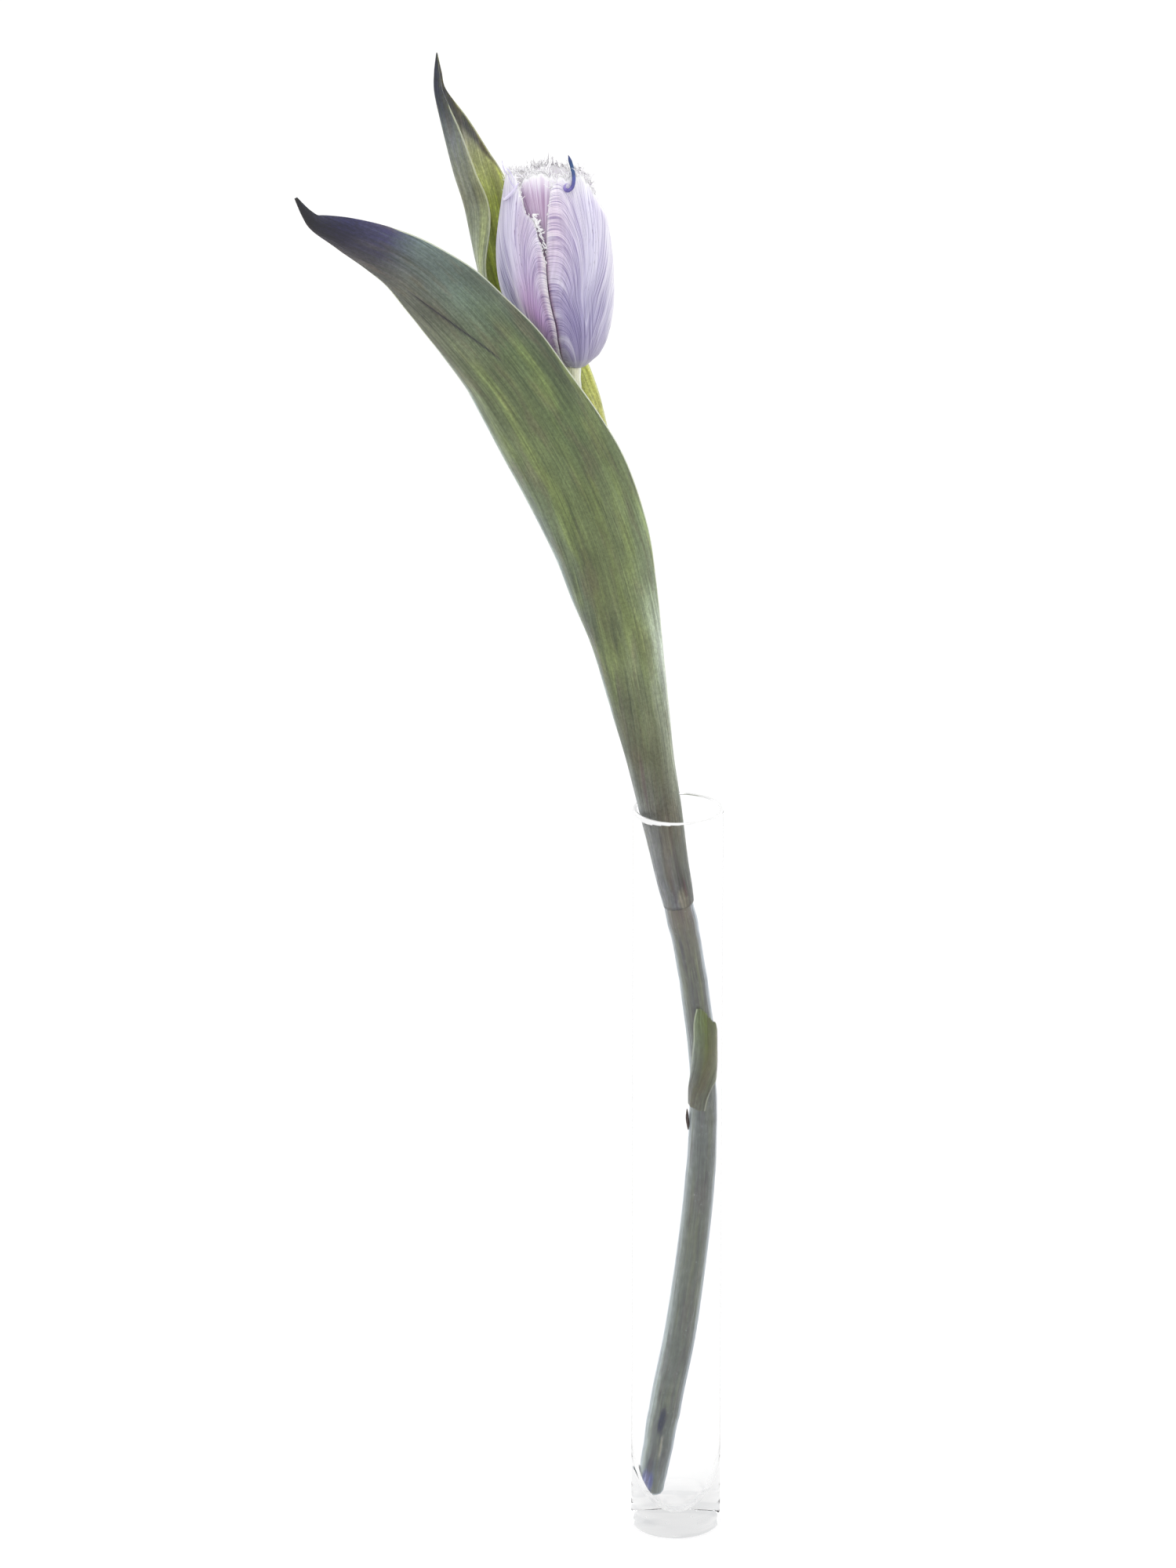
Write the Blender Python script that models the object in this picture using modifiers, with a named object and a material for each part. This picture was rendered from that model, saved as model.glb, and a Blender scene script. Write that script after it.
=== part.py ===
"""A single fringed tulip standing in a narrow clear-glass cylinder vase.

Metres, +Z up.  The origin is the centre of the vase's flat underside.
The flower leans to -X; the side the object is meant to be seen from is -Y.
"""

import math

import bpy
from mathutils import Vector

MM = 0.001

# vase
VASE_HEIGHT = 258 * MM
VASE_RADIUS = 15 * MM
VASE_WALL = 1.4 * MM
VASE_BASE_THICKNESS = 4.8 * MM
VASE_FOOT_ROUND = 2.2 * MM
VASE_STEPS = 40
BOWL_SEGMENTS = 9
RIM_SEGMENTS = 6
FOOT_SEGMENTS = 4

# plant sheets
LEAF_THICKNESS = 0.9 * MM
STUB_THICKNESS = 0.6 * MM
PETAL_THICKNESS = 0.7 * MM

# stem centre line and radius, in millimetres, from the cut end up to the receptacle
STEM_POINTS = [
    (-6.3, 0.0, 11.3, 3.0),
    (-6.3, 0.0, 14.0, 4.5),
    (-6.25, 0.0, 18.5, 5.1),
    (-6.0, 0.0, 28.0, 5.3),
    (-4.1, 0.1, 40.6, 5.6),
    (1.2, 0.4, 69.5, 5.5),
    (5.1, 0.7, 98.0, 5.2),
    (7.9, 0.9, 126.6, 5.0),
    (8.1, 1.0, 141.0, 4.95),
    (7.6, 1.0, 153.0, 4.85),
    (7.2, 0.9, 169.0, 4.8),
    (4.9, 0.4, 197.0, 4.75),
    (2.8, 0.1, 211.0, 4.75),
    (0.6, -0.2, 222.0, 4.8),
    (-2.6, -0.9, 239.0, 4.7),
    (-5.5, -1.4, 255.5, 4.5),
    (-12.4, -2.1, 292.0, 4.4),
    (-18.4, -2.2, 327.0, 4.2),
    (-26.1, -2.1, 370.0, 4.0),
    (-31.2, -2.0, 398.0, 3.9),
    (-33.0, -2.0, 405.5, 4.4),
    (-33.7, -2.0, 408.6, 5.1),
    (-33.8, -2.0, 409.9, 5.1),
]
STEM_SEGMENTS = 64
STEM_END_GAP = 2 * MM
STEM_NODE_HEIGHTS = (148 * MM, 218 * MM)
STEM_NODE_SWELL = 0.25 * MM
STEM_NODE_LENGTH = 3 * MM

# A leaf station is (x, y, z) of the midrib in millimetres, then for the left half and
# for the right half (length, direction at the midrib, direction at the margin), with
# directions in degrees from +X towards +Y, across the leaf.
FRONT_LEAF_SHEATH = [
    # height, radius about the stem, facing, half wrap
    (221.5, 5.9, -110, 158),
    (239.0, 6.1, -110, 140),
    (258.0, 7.0, -105, 115),
    (275.0, 7.7, -97, 90),
]
FRONT_LEAF_BLADE = [
    (-12.3, -10.0, 292.0, 12.5, 180, 105, 12.5, 0, 75),
    (-16.6, -11.0, 316.5, 14.0, 180, 115, 14.0, 0, 65),
    (-20.9, -13.0, 336.0, 17.2, 180, 120, 16.6, 0, 60),
    (-25.3, -15.0, 353.0, 19.5, 180, 122, 18.3, 0, 55),
    (-32.4, -17.5, 373.0, 21.6, 180, 124, 19.3, 0, 52),
    (-40.2, -20.0, 390.0, 21.6, 180, 126, 19.0, 0, 50),
    (-49.8, -22.5, 407.5, 19.4, 180, 128, 17.6, 0, 48),
    (-57.9, -24.5, 419.5, 16.0, 180, 135, 16.0, 0, 45),
    (-66.6, -25.5, 430.5, 14.7, 180, 135, 14.7, 0, 45),
    (-75.2, -26.0, 440.0, 13.6, 180, 138, 13.6, 0, 42),
    (-85.4, -26.5, 449.5, 9.8, 180, 140, 11.0, 0, 40),
    (-95.4, -27.0, 455.5, 7.8, 180, 140, 9.0, 0, 40),
    (-106.8, -27.5, 460.8, 4.8, 180, 145, 5.6, 0, 35),
    (-115.9, -28.0, 465.2, 2.9, 180, 145, 2.9, 0, 35),
    (-122.4, -28.0, 475.0, 0.4, 180, 150, 0.4, 0, 30),
]
BACK_LEAF_SHEATH = [
    (260.0, 5.6, 105, 105),
    (276.0, 5.7, 118, 95),
]
BACK_LEAF_BLADE = [
    (-19.4, 1.7, 301.0, 7.0, 236, 312, 10.5, 50, -50),
    (-24.2, 3.2, 322.0, 7.5, 242, 305, 13.0, 48, -35),
    (-30.9, 5.6, 344.0, 8.5, 250, 300, 17.0, 45, -20),
    (-39.4, 8.0, 366.0, 11.0, 258, 303, 21.5, 40, -16),
    (-48.4, 10.0, 386.0, 13.0, 262, 300, 26.0, 36, -14),
    (-55.6, 12.0, 405.5, 13.0, 265, 295, 27.0, 36, -8),
    (-61.0, 14.0, 424.0, 12.0, 270, 290, 26.0, 40, 6),
    (-65.8, 14.5, 442.0, 11.0, 276, 300, 23.5, 45, 16),
    (-69.2, 13.5, 459.5, 10.0, 312, 338, 18.0, 45, 25),
    (-72.6, 12.5, 471.5, 8.5, 318, 335, 14.8, 45, 25),
    (-76.0, 12.0, 486.0, 6.3, 318, 335, 9.6, 40, 22),
    (-78.5, 12.0, 498.0, 3.2, 320, 330, 4.0, 35, 20),
    (-78.7, 12.0, 505.0, 1.8, 320, 330, 2.4, 35, 20),
    (-78.2, 12.0, 511.5, 0.4, 320, 330, 0.4, 35, 20),
]
STUB_SHEATH = [
    # height, radius about the stem, facing, wrap to the left, wrap to the right
    (150.5, 5.55, -68, 52, 46),
    (160.0, 5.55, -68, 50, 46),
    (170.0, 5.8, -66, 44, 42),
    (179.0, 6.2, -64, 36, 26),
    (188.0, 6.4, -70, 14, 3),
]

# bloom: centre line, and the radius of the outer petals, by height above the receptacle
BLOOM_BASE_Z = 410.2 * MM
BLOOM_AXIS = [
    (0, -33.9, -2.0),
    (15, -37.2, -1.0),
    (28, -40.2, -0.2),
    (40, -41.3, 0.0),
    (54, -41.6, 0.0),
    (74, -41.8, 0.0),
]
PETAL_PROFILE = [
    # height, radius, half width in degrees
    (0.6, 5.0, 50),
    (3.0, 7.8, 55),
    (7.5, 11.2, 57),
    (14.0, 14.6, 57),
    (22.0, 17.6, 57),
    (31.0, 19.1, 57),
    (39.0, 19.1, 57),
    (47.0, 18.2, 56),
    (55.0, 17.0, 48),
    (61.5, 15.9, 34),
    (66.5, 15.0, 13),
]
PETAL_COLUMNS = 7
# the inner petals stand this far inside the outer ones, less so at the crowded base
PETAL_NESTING = 1.5
PETAL_BASE_NESTING_SHARE = 0.75
PETAL_BASE_LENGTH = 3.0
INNER_PETAL_LIFT = 0.4
OUTER_PETALS = {"outer_petal_left": -150, "outer_petal_right": -30, "outer_petal_back": 90}
INNER_PETALS = {"inner_petal_front": -90, "inner_petal_right": 30, "inner_petal_left": 150}

STAMEN_COUNT = 6
STAMEN_RING = 2.3 * MM
STAMEN_SPREAD = 6.2 * MM
STAMEN_LIFT = 0.7 * MM
FILAMENT_LENGTH = 9 * MM
FILAMENT_RADIUS = 0.45 * MM
ANTHER_LENGTH = 14 * MM
ANTHER_RADIUS = 1.3 * MM

PISTIL_STEPS = 18
PISTIL_PROFILE = [
    # radius, height above the receptacle, from the stigma down its outer side
    (0.0, 24.5),
    (1.6, 25.0),
    (3.2, 24.2),
    (3.6, 22.8),
    (2.6, 21.6),
    (2.3, 20.0),
    (3.0, 14.0),
    (3.1, 8.0),
    (2.4, 5.0),
    (1.3, 2.0),
    (1.2, 0.6),
    (0.0, 0.6),
]

LEAF_COLUMNS = 4
LEAF_COLUMN_STEPS = 8
STEM_ROUNDNESS = 3
STAMEN_ROUNDNESS = 1


def clear_scene():
    for existing in list(bpy.data.objects):
        bpy.data.objects.remove(existing, do_unlink=True)


def make_collection(name):
    collection = bpy.data.collections.new(name)
    bpy.context.scene.collection.children.link(collection)
    return collection


def make_material(name, colour, roughness, transmission=0.0):
    material = bpy.data.materials.new(name)
    material.use_nodes = True
    shader = material.node_tree.nodes["Principled BSDF"]
    shader.inputs["Base Color"].default_value = (*colour, 1)
    shader.inputs["Roughness"].default_value = roughness
    shader.inputs["Metallic"].default_value = 0
    shader.inputs["Transmission Weight"].default_value = transmission
    return material


def add_mesh(name, vertices, faces, material):
    mesh = bpy.data.meshes.new(name)
    mesh.from_pydata([tuple(v) for v in vertices], [], faces)
    mesh.materials.append(material)
    mesh.update()
    piece = bpy.data.objects.new(name, mesh)
    PARTS.objects.link(piece)
    mesh.shade_smooth()
    return piece


def interpolate(table, key):
    """Smooth values from a table whose rows start with an increasing key (Catmull-Rom)."""
    last = len(table) - 1
    i = 0
    while i < last - 1 and key > table[i + 1][0]:
        i += 1
    before, start, end, after = (table[min(max(j, 0), last)] for j in (i - 1, i, i + 1, i + 2))
    t = (key - start[0]) / (end[0] - start[0])
    values = []
    for a, b, c, d in zip(before[1:], start[1:], end[1:], after[1:]):
        values.append(
            0.5 * (2 * b + (c - a) * t + (2 * a - 5 * b + 4 * c - d) * t**2 + (3 * b - a - 3 * c + d) * t**3)
        )
    return values


def stem_at(z):
    """Centre and radius of the stem at height z, all in metres."""
    table = [(height, x, y, radius) for x, y, height, radius in STEM_POINTS]
    x, y, radius = interpolate(table, z / MM)
    swell = sum(
        STEM_NODE_SWELL * math.exp(-(((z - node) / STEM_NODE_LENGTH) ** 2)) for node in STEM_NODE_HEIGHTS
    )
    return Vector((x * MM, y * MM, z)), radius * MM + swell


def sheath_station(height, radius, facing, wrap_left, wrap_right=None):
    """A leaf station that lies round the stem, open on the side away from facing."""
    if wrap_right is None:
        wrap_right = wrap_left
    centre, _ = stem_at(height * MM)
    x = centre.x / MM + radius * math.cos(math.radians(facing))
    y = centre.y / MM + radius * math.sin(math.radians(facing))
    left = (radius * math.radians(wrap_left), facing - 90, facing - 90 - wrap_left)
    right = (radius * math.radians(wrap_right), facing + 90, facing + 90 + wrap_right)
    return (x, y, height, *left, *right)


def half_section(length, start, end, columns):
    """Offsets across one half of a leaf, from the midrib to the margin, in millimetres."""
    offsets = []
    x = y = 0.0
    steps = LEAF_COLUMN_STEPS * columns
    for step in range(1, steps + 1):
        angle = math.radians(start + (end - start) * (step - 0.5) / steps)
        x += length / steps * math.cos(angle)
        y += length / steps * math.sin(angle)
        if step % LEAF_COLUMN_STEPS == 0:
            offsets.append((x, y))
    return offsets


def section_points(station, tangent):
    """Points across one leaf station, left margin first, in metres."""
    x, y, z, left_length, left_start, left_end, right_length, right_start, right_end = station
    across = (Vector((1, 0, 0)) - tangent * tangent.x).normalized()
    depth = tangent.cross(across)
    left = half_section(left_length, left_start, left_end, LEAF_COLUMNS)
    right = half_section(right_length, right_start, right_end, LEAF_COLUMNS)
    offsets = [*reversed(left), (0.0, 0.0), *right]
    midrib = Vector((x, y, z))
    return [(midrib + across * a + depth * b) * MM for a, b in offsets]


def unwrapped(stations):
    """Turns each direction by full turns so that it follows the station before it."""
    result = [list(stations[0])]
    for station in stations[1:]:
        row = list(station)
        for i in (4, 5, 7, 8):
            row[i] -= 360 * round((row[i] - result[-1][i]) / 360)
        result.append(row)
    return result


def grid_faces(rows, columns):
    return [
        (r * columns + c, r * columns + c + 1, (r + 1) * columns + c + 1, (r + 1) * columns + c)
        for r in range(rows - 1)
        for c in range(columns - 1)
    ]


def thicken(piece, thickness):
    """A smooth shell from a coarse open cage."""
    smooth = piece.modifiers.new("Smooth", "SUBSURF")
    smooth.levels = 1
    smooth.render_levels = 1
    smooth.boundary_smooth = "PRESERVE_CORNERS"
    shell = piece.modifiers.new("Shell", "SOLIDIFY")
    shell.thickness = thickness
    shell.offset = 0


def leaf(name, stations, thickness, material):
    stations = unwrapped(stations)
    midribs = [Vector(station[:3]) for station in stations]
    vertices = []
    for i, station in enumerate(stations):
        tangent = (midribs[min(i + 1, len(midribs) - 1)] - midribs[max(i - 1, 0)]).normalized()
        vertices += section_points(station, tangent)
    columns = 2 * LEAF_COLUMNS + 1
    piece = add_mesh(name, vertices, grid_faces(len(stations), columns), material)
    thicken(piece, thickness)
    return piece


def front_leaf():
    material = make_material("front leaf green", (0.13, 0.21, 0.10), 0.5)
    stations = [sheath_station(*row) for row in FRONT_LEAF_SHEATH] + FRONT_LEAF_BLADE
    return leaf("front_leaf", stations, LEAF_THICKNESS, material)


def back_leaf():
    material = make_material("back leaf green", (0.22, 0.27, 0.09), 0.5)
    # this leaf's left half is the one nearer to -Y, so its sections run the other way round
    stations = [sheath_station(*row) for row in BACK_LEAF_SHEATH]
    for x, y, z, near, near_start, near_end, far, far_start, far_end in BACK_LEAF_BLADE:
        stations.append((x, y, z, far, far_start, far_end, near, near_start, near_end))
    return leaf("back_leaf", stations, LEAF_THICKNESS, material)


def lower_leaf_stub():
    material = make_material("torn leaf green", (0.20, 0.27, 0.12), 0.55)
    stations = [sheath_station(*row) for row in STUB_SHEATH]
    return leaf("lower_leaf_stub", stations, STUB_THICKNESS, material)


def add_tube(name, points, radii, material, roundness):
    """A capped tube through the points, as a curve with a round bevel."""
    curve = bpy.data.curves.new(name, "CURVE")
    curve.dimensions = "3D"
    curve.bevel_depth = 1.0
    curve.bevel_resolution = roundness
    curve.use_fill_caps = True
    spline = curve.splines.new("POLY")
    spline.points.add(len(points) - 1)
    for control, point, radius in zip(spline.points, points, radii):
        control.co = (*point, 1)
        control.radius = radius
    curve.materials.append(material)
    piece = bpy.data.objects.new(name, curve)
    PARTS.objects.link(piece)
    return piece


def stem():
    material = make_material("stem olive", (0.19, 0.20, 0.12), 0.45)
    bottom = STEM_POINTS[0][2] * MM
    top = STEM_POINTS[-1][2] * MM
    heights = [bottom + (top - bottom) * i / STEM_SEGMENTS for i in range(STEM_SEGMENTS + 1)]
    rounded_end = [point[2] * MM for point in STEM_POINTS[:3]]
    flared_end = [point[2] * MM for point in STEM_POINTS[-3:]]
    middle = [z for z in heights if rounded_end[-1] + STEM_END_GAP < z < flared_end[0] - STEM_END_GAP]
    sections = [stem_at(z) for z in [*rounded_end, *middle, *flared_end]]
    points = [centre for centre, _ in sections]
    radii = [radius for _, radius in sections]
    return add_tube("stem", points, radii, material, STEM_ROUNDNESS)


def arc(centre_r, centre_z, radius, start, end, segments):
    """Points (r, z) on a circle, from one angle in degrees to another."""
    angles = [math.radians(start + (end - start) * i / segments) for i in range(segments + 1)]
    return [(centre_r + radius * math.cos(a), centre_z + radius * math.sin(a)) for a in angles]


def turned(name, profile, material, steps):
    """A solid of revolution; the profile runs down its outer side and ends on the axis."""
    vertices = [(radius, 0, z) for radius, z in profile]
    mesh = bpy.data.meshes.new(name)
    mesh.from_pydata(vertices, [(i, i + 1) for i in range(len(vertices) - 1)], [])
    mesh.materials.append(material)
    piece = bpy.data.objects.new(name, mesh)
    PARTS.objects.link(piece)
    spin = piece.modifiers.new("Turn", "SCREW")
    spin.steps = steps
    spin.render_steps = steps
    spin.use_merge_vertices = True
    spin.merge_threshold = 0.00001
    spin.use_smooth_shade = True
    return piece


def vase():
    material = make_material("clear glass", (0.93, 0.95, 0.96), 0.03, transmission=1.0)
    inner = VASE_RADIUS - VASE_WALL
    bowl_z = VASE_BASE_THICKNESS + inner
    lip = VASE_WALL / 2
    bowl = arc(0, bowl_z, inner, -90, 0, BOWL_SEGMENTS)
    bowl[0] = (0, VASE_BASE_THICKNESS)
    rim = arc(inner + lip, VASE_HEIGHT - lip, lip, 180, 0, RIM_SEGMENTS)
    foot_centre = VASE_RADIUS - VASE_FOOT_ROUND
    foot = arc(foot_centre, VASE_FOOT_ROUND, VASE_FOOT_ROUND, 0, -90, FOOT_SEGMENTS)
    return turned("vase", [*bowl, *rim, *foot, (0, 0)], material, VASE_STEPS)


def bloom_point(height, radius, degrees):
    """A point of the bloom, from millimetres above the receptacle and out from its axis."""
    x, y = interpolate(BLOOM_AXIS, height)
    angle = math.radians(degrees)
    flat = Vector((x + radius * math.cos(angle), y + radius * math.sin(angle), height))
    return flat * MM + Vector((0, 0, BLOOM_BASE_Z))


def petal(name, facing, nesting, lift, material):
    """One cupped petal, widest at mid height; nesting sets it in, and lift raises its base."""
    vertices = []
    for height, radius, half_width in PETAL_PROFILE:
        base_share = PETAL_BASE_NESTING_SHARE * (1 - height / PETAL_BASE_LENGTH) + height / PETAL_BASE_LENGTH
        inset = nesting * min(1.0, base_share)
        rise = lift * (1 - height / PETAL_PROFILE[-1][0])
        for column in range(PETAL_COLUMNS):
            side = 2 * column / (PETAL_COLUMNS - 1) - 1
            vertices.append(bloom_point(height + rise, radius - inset, facing + half_width * side))
    piece = add_mesh(name, vertices, grid_faces(len(PETAL_PROFILE), PETAL_COLUMNS), material)
    thicken(piece, PETAL_THICKNESS)
    return piece


def petals():
    outer = make_material("outer petal lilac", (0.58, 0.51, 0.68), 0.5)
    inner = make_material("inner petal pale pink", (0.68, 0.56, 0.68), 0.5)
    for name, facing in OUTER_PETALS.items():
        petal(name, facing, 0, 0, outer)
    for name, facing in INNER_PETALS.items():
        petal(name, facing, PETAL_NESTING, INNER_PETAL_LIFT, inner)


def pistil():
    material = make_material("pistil green", (0.45, 0.52, 0.25), 0.5)
    profile = [(radius * MM, height * MM) for radius, height in PISTIL_PROFILE]
    piece = turned("pistil", profile, material, PISTIL_STEPS)
    base = bloom_point(0, 0, 0)
    top = bloom_point(PISTIL_PROFILE[0][1], 0, 0)
    piece.location = base
    piece.rotation_euler = (top - base).to_track_quat("Z", "Y").to_euler()
    return piece


def stamen(index, material):
    """A thin filament that widens into the long anther."""
    degrees = 360 * index / STAMEN_COUNT
    shape = [
        # share of the filament, share of the anther, share of the spread, radius
        (0.0, 0.0, 0.0, FILAMENT_RADIUS),
        (0.3, 0.0, 0.45, FILAMENT_RADIUS),
        (1.0, 0.0, 1.0, FILAMENT_RADIUS),
        (1.0, 0.08, 1.0, ANTHER_RADIUS * 0.9),
        (1.0, 0.4, 1.0, ANTHER_RADIUS),
        (1.0, 0.8, 1.0, ANTHER_RADIUS * 0.9),
        (1.0, 1.0, 1.0, ANTHER_RADIUS * 0.4),
    ]
    points = []
    radii = []
    for filament, anther, spread_share, radius in shape:
        height = STAMEN_LIFT + filament * FILAMENT_LENGTH + anther * ANTHER_LENGTH
        spread = STAMEN_RING + (STAMEN_SPREAD - STAMEN_RING) * spread_share
        points.append(bloom_point(height / MM, spread / MM, degrees))
        radii.append(radius)
    return add_tube(f"stamen_{index + 1}", points, radii, material, STAMEN_ROUNDNESS)


def stamens():
    material = make_material("stamen yellow", (0.60, 0.50, 0.20), 0.6)
    for index in range(STAMEN_COUNT):
        stamen(index, material)


clear_scene()
PARTS = make_collection("tulip_in_vase")
vase()
stem()
lower_leaf_stub()
front_leaf()
back_leaf()
petals()
pistil()
stamens()
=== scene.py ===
"""Looks of a fringed tulip in a glass cylinder vase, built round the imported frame.

Blender works in metres, +Z up.  The plant's tables are in millimetres, in the same frame.
"""

import math

import bpy
import numpy as np
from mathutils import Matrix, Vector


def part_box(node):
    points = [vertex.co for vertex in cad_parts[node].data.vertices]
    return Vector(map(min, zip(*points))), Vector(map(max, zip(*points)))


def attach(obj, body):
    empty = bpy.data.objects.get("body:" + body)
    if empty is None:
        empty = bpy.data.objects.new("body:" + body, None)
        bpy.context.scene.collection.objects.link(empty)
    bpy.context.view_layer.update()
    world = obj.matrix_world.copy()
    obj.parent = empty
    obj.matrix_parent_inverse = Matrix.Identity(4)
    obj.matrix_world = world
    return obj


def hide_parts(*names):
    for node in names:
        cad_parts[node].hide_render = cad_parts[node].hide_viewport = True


MM = 0.001
# a tint that leaves a material's own colour as it is
WHITE = (1, 1, 1)

# camera: level distance from the vase's axis, its rise over that distance and its aim
CAMERA_DISTANCE = 2.74
CAMERA_RISE = 0.374
CAMERA_PITCH = 20.354
CAMERA_X = -0.02964
CAMERA_LENS = 204.3

# lamps: name, place, size, power
LAMPS = [
    ("key", (-1.5, -1.9, 2.1), 1.4, 16),
    ("fill", (2.2, -1.0, 1.4), 1.6, 9),
    ("top", (-0.2, -0.5, 2.6), 1.2, 18),
    ("left edge", (-2.0, 1.8, 1.3), 1.6, 16),
    ("right edge", (2.0, 1.8, 1.3), 1.6, 18),
]
LAMP_TARGET = (-0.03, 0.0, 0.3)
# the floor: half its width, its height, and the white that the eye sees of it, mixed over its shadow
FLOOR_HALF = 9.0
FLOOR_Z = -0.0002
FLOOR_WHITE = 1.07
FLOOR_WHITENED = 0.8
# the room's level before and behind the object
ROOM_LEVELS = (0.64, 1.05)

# glass
VASE_WALL = 1.4
VASE_BASE_THICKNESS = 4.8
VASE_FOOT_ROUND = 1.3
GLASS_IOR = 1.12
GLASS_GREY = 9.0
VASE_STEPS = 144
VASE_BOWL_STRETCH = 1.7
# bubbles in the thick base: direction round the axis in degrees, distance from it, height, radius
VASE_BUBBLES = [
    (-112, 8.5, 3.2, 0.45),
    (-60, 10.5, 6.0, 0.3),
    (-150, 11.0, 4.2, 0.25),
    (40, 8.0, 2.6, 0.3),
]

# stem centre line and radius, from the cut end up to the receptacle
STEM_POINTS = [
    (-8.9, 0.0, 11.3, 4.2),
    (-8.7, 0.0, 12.2, 4.6),
    (-7.6, 0.0, 18.5, 4.8),
    (-5.9, 0.0, 28.0, 5.0),
    (-3.8, 0.1, 40.6, 5.3),
    (1.3, 0.4, 69.5, 5.3),
    (5.1, 0.7, 98.0, 5.1),
    (7.9, 0.9, 126.6, 5.0),
    (8.8, 1.0, 141.0, 4.9),
    (9.1, 1.0, 153.0, 4.8),
    (8.6, 0.9, 169.0, 4.75),
    (5.3, 0.4, 197.0, 4.65),
    (3.0, 0.1, 211.0, 4.7),
    (0.6, -0.2, 222.0, 4.8),
    (-2.6, -0.9, 239.0, 4.7),
    (-5.5, -1.4, 255.5, 4.5),
    (-12.4, -2.1, 292.0, 4.4),
    (-18.6, -2.2, 327.0, 4.1),
    (-27.4, -2.1, 370.0, 3.6),
    (-33.5, -2.0, 398.0, 2.9),
    (-34.8, -2.0, 405.5, 2.9),
    (-35.1, -2.0, 409.0, 3.2),
    (-35.0, -2.0, 411.6, 3.2),
]
STEM_ROW_LENGTH = 0.9
STEM_SIDES = 56
STEM_NODES = (148, 218)
STEM_NODE_SWELL = 0.25
STEM_NODE_LENGTH = 3
STEM_CUT_START = -8.2
STEM_CUT_SLOPE = 1.8
# how far from the vase's axis the stem's skin may reach, and by how much less beside the stub
STEM_LIMIT = 13.5
STEM_STUB_ROOM = 0.55
# the last part of the way to such a limit, over which a surface is bent away from the glass
GLASS_CUSHION = 0.5

# A leaf station is (x, y, z) of the midrib, then for the left half and for the right half
# (length, direction at the midrib, direction at the margin), with directions in degrees
# from +X towards +Y, across the leaf.
FRONT_LEAF_SHEATH = [
    # height, radius about the stem, facing, half wrap
    (223.7, 4.95, -110, 165),
    (226.0, 5.15, -110, 160),
    (231.0, 5.45, -110, 150),
    (240.0, 5.75, -110, 140),
    (258.0, 6.7, -105, 115),
    (275.0, 7.6, -97, 90),
]
FRONT_LEAF_BLADE = [
    (-12.3, -10.0, 292.0, 12.5, 180, 105, 12.5, 0, 75),
    (-16.6, -11.0, 316.5, 14.0, 180, 115, 14.0, 0, 65),
    (-20.9, -13.0, 336.0, 17.2, 180, 120, 16.3, 0, 60),
    (-25.3, -15.0, 353.0, 19.0, 180, 122, 18.3, 0, 55),
    (-32.4, -17.5, 373.0, 21.2, 180, 124, 19.3, 0, 52),
    (-40.2, -20.0, 390.0, 21.4, 180, 126, 18.2, 0, 50),
    (-49.8, -22.5, 407.5, 19.6, 180, 128, 16.5, 0, 48),
    (-57.9, -24.5, 419.5, 16.8, 180, 135, 16.4, 0, 45),
    (-66.6, -25.5, 430.5, 15.6, 180, 135, 15.2, 0, 45),
    (-75.2, -26.0, 440.0, 14.2, 180, 138, 14.3, 0, 42),
    (-85.4, -26.5, 449.5, 11.6, 180, 140, 11.6, 0, 40),
    (-95.4, -27.0, 455.5, 8.5, 180, 140, 9.9, 0, 40),
    (-106.8, -27.5, 460.8, 4.8, 180, 145, 7.7, 0, 35),
    (-115.9, -28.0, 465.2, 2.0, 180, 145, 4.7, 0, 35),
    (-119.2, -28.0, 469.2, 1.3, 180, 148, 2.3, 0, 32),
    (-122.4, -28.0, 475.0, 0.5, 180, 150, 0.5, 0, 30),
]
BACK_LEAF_SHEATH = [
    (260.0, 5.6, 105, 105),
    (276.0, 5.7, 118, 95),
]
# keel x, y, z, then the half nearer to -Y and the half further from it
BACK_LEAF_BLADE = [
    (-19.4, 1.7, 301.0, 7.0, 236, 312, 10.5, 50, -50),
    (-24.2, 3.2, 322.0, 7.5, 242, 305, 13.0, 48, -35),
    (-30.9, 5.6, 344.0, 8.5, 250, 300, 17.0, 45, -20),
    (-39.4, 8.0, 366.0, 11.0, 258, 303, 21.8, 40, -16),
    (-48.4, 10.0, 386.0, 13.0, 262, 300, 25.8, 36, -14),
    (-55.6, 12.0, 405.5, 13.0, 265, 295, 26.0, 36, -8),
    (-61.0, 14.0, 424.0, 12.0, 270, 290, 26.0, 40, 6),
    (-65.8, 14.5, 442.0, 11.0, 276, 300, 23.5, 45, 16),
    (-69.2, 13.5, 459.5, 10.0, 312, 338, 18.0, 45, 25),
    (-72.6, 12.5, 471.5, 8.5, 318, 335, 14.8, 45, 25),
    (-76.0, 12.0, 486.0, 6.3, 318, 335, 9.6, 40, 22),
    (-78.5, 12.0, 498.0, 3.2, 320, 330, 4.0, 35, 20),
    (-78.7, 12.0, 505.0, 1.8, 320, 330, 2.4, 35, 20),
    (-78.2, 12.0, 511.5, 0.4, 320, 330, 0.4, 35, 20),
]
STUB_SHEATH = [
    # height, radius about the stem, facing, wrap to the left, wrap to the right
    (152.4, 5.2, -136, 49, 48),
    (157.5, 5.25, -127, 51, 50),
    (162.0, 5.4, -106, 49, 50),
    (168.0, 5.5, -88, 48, 74),
]
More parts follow.
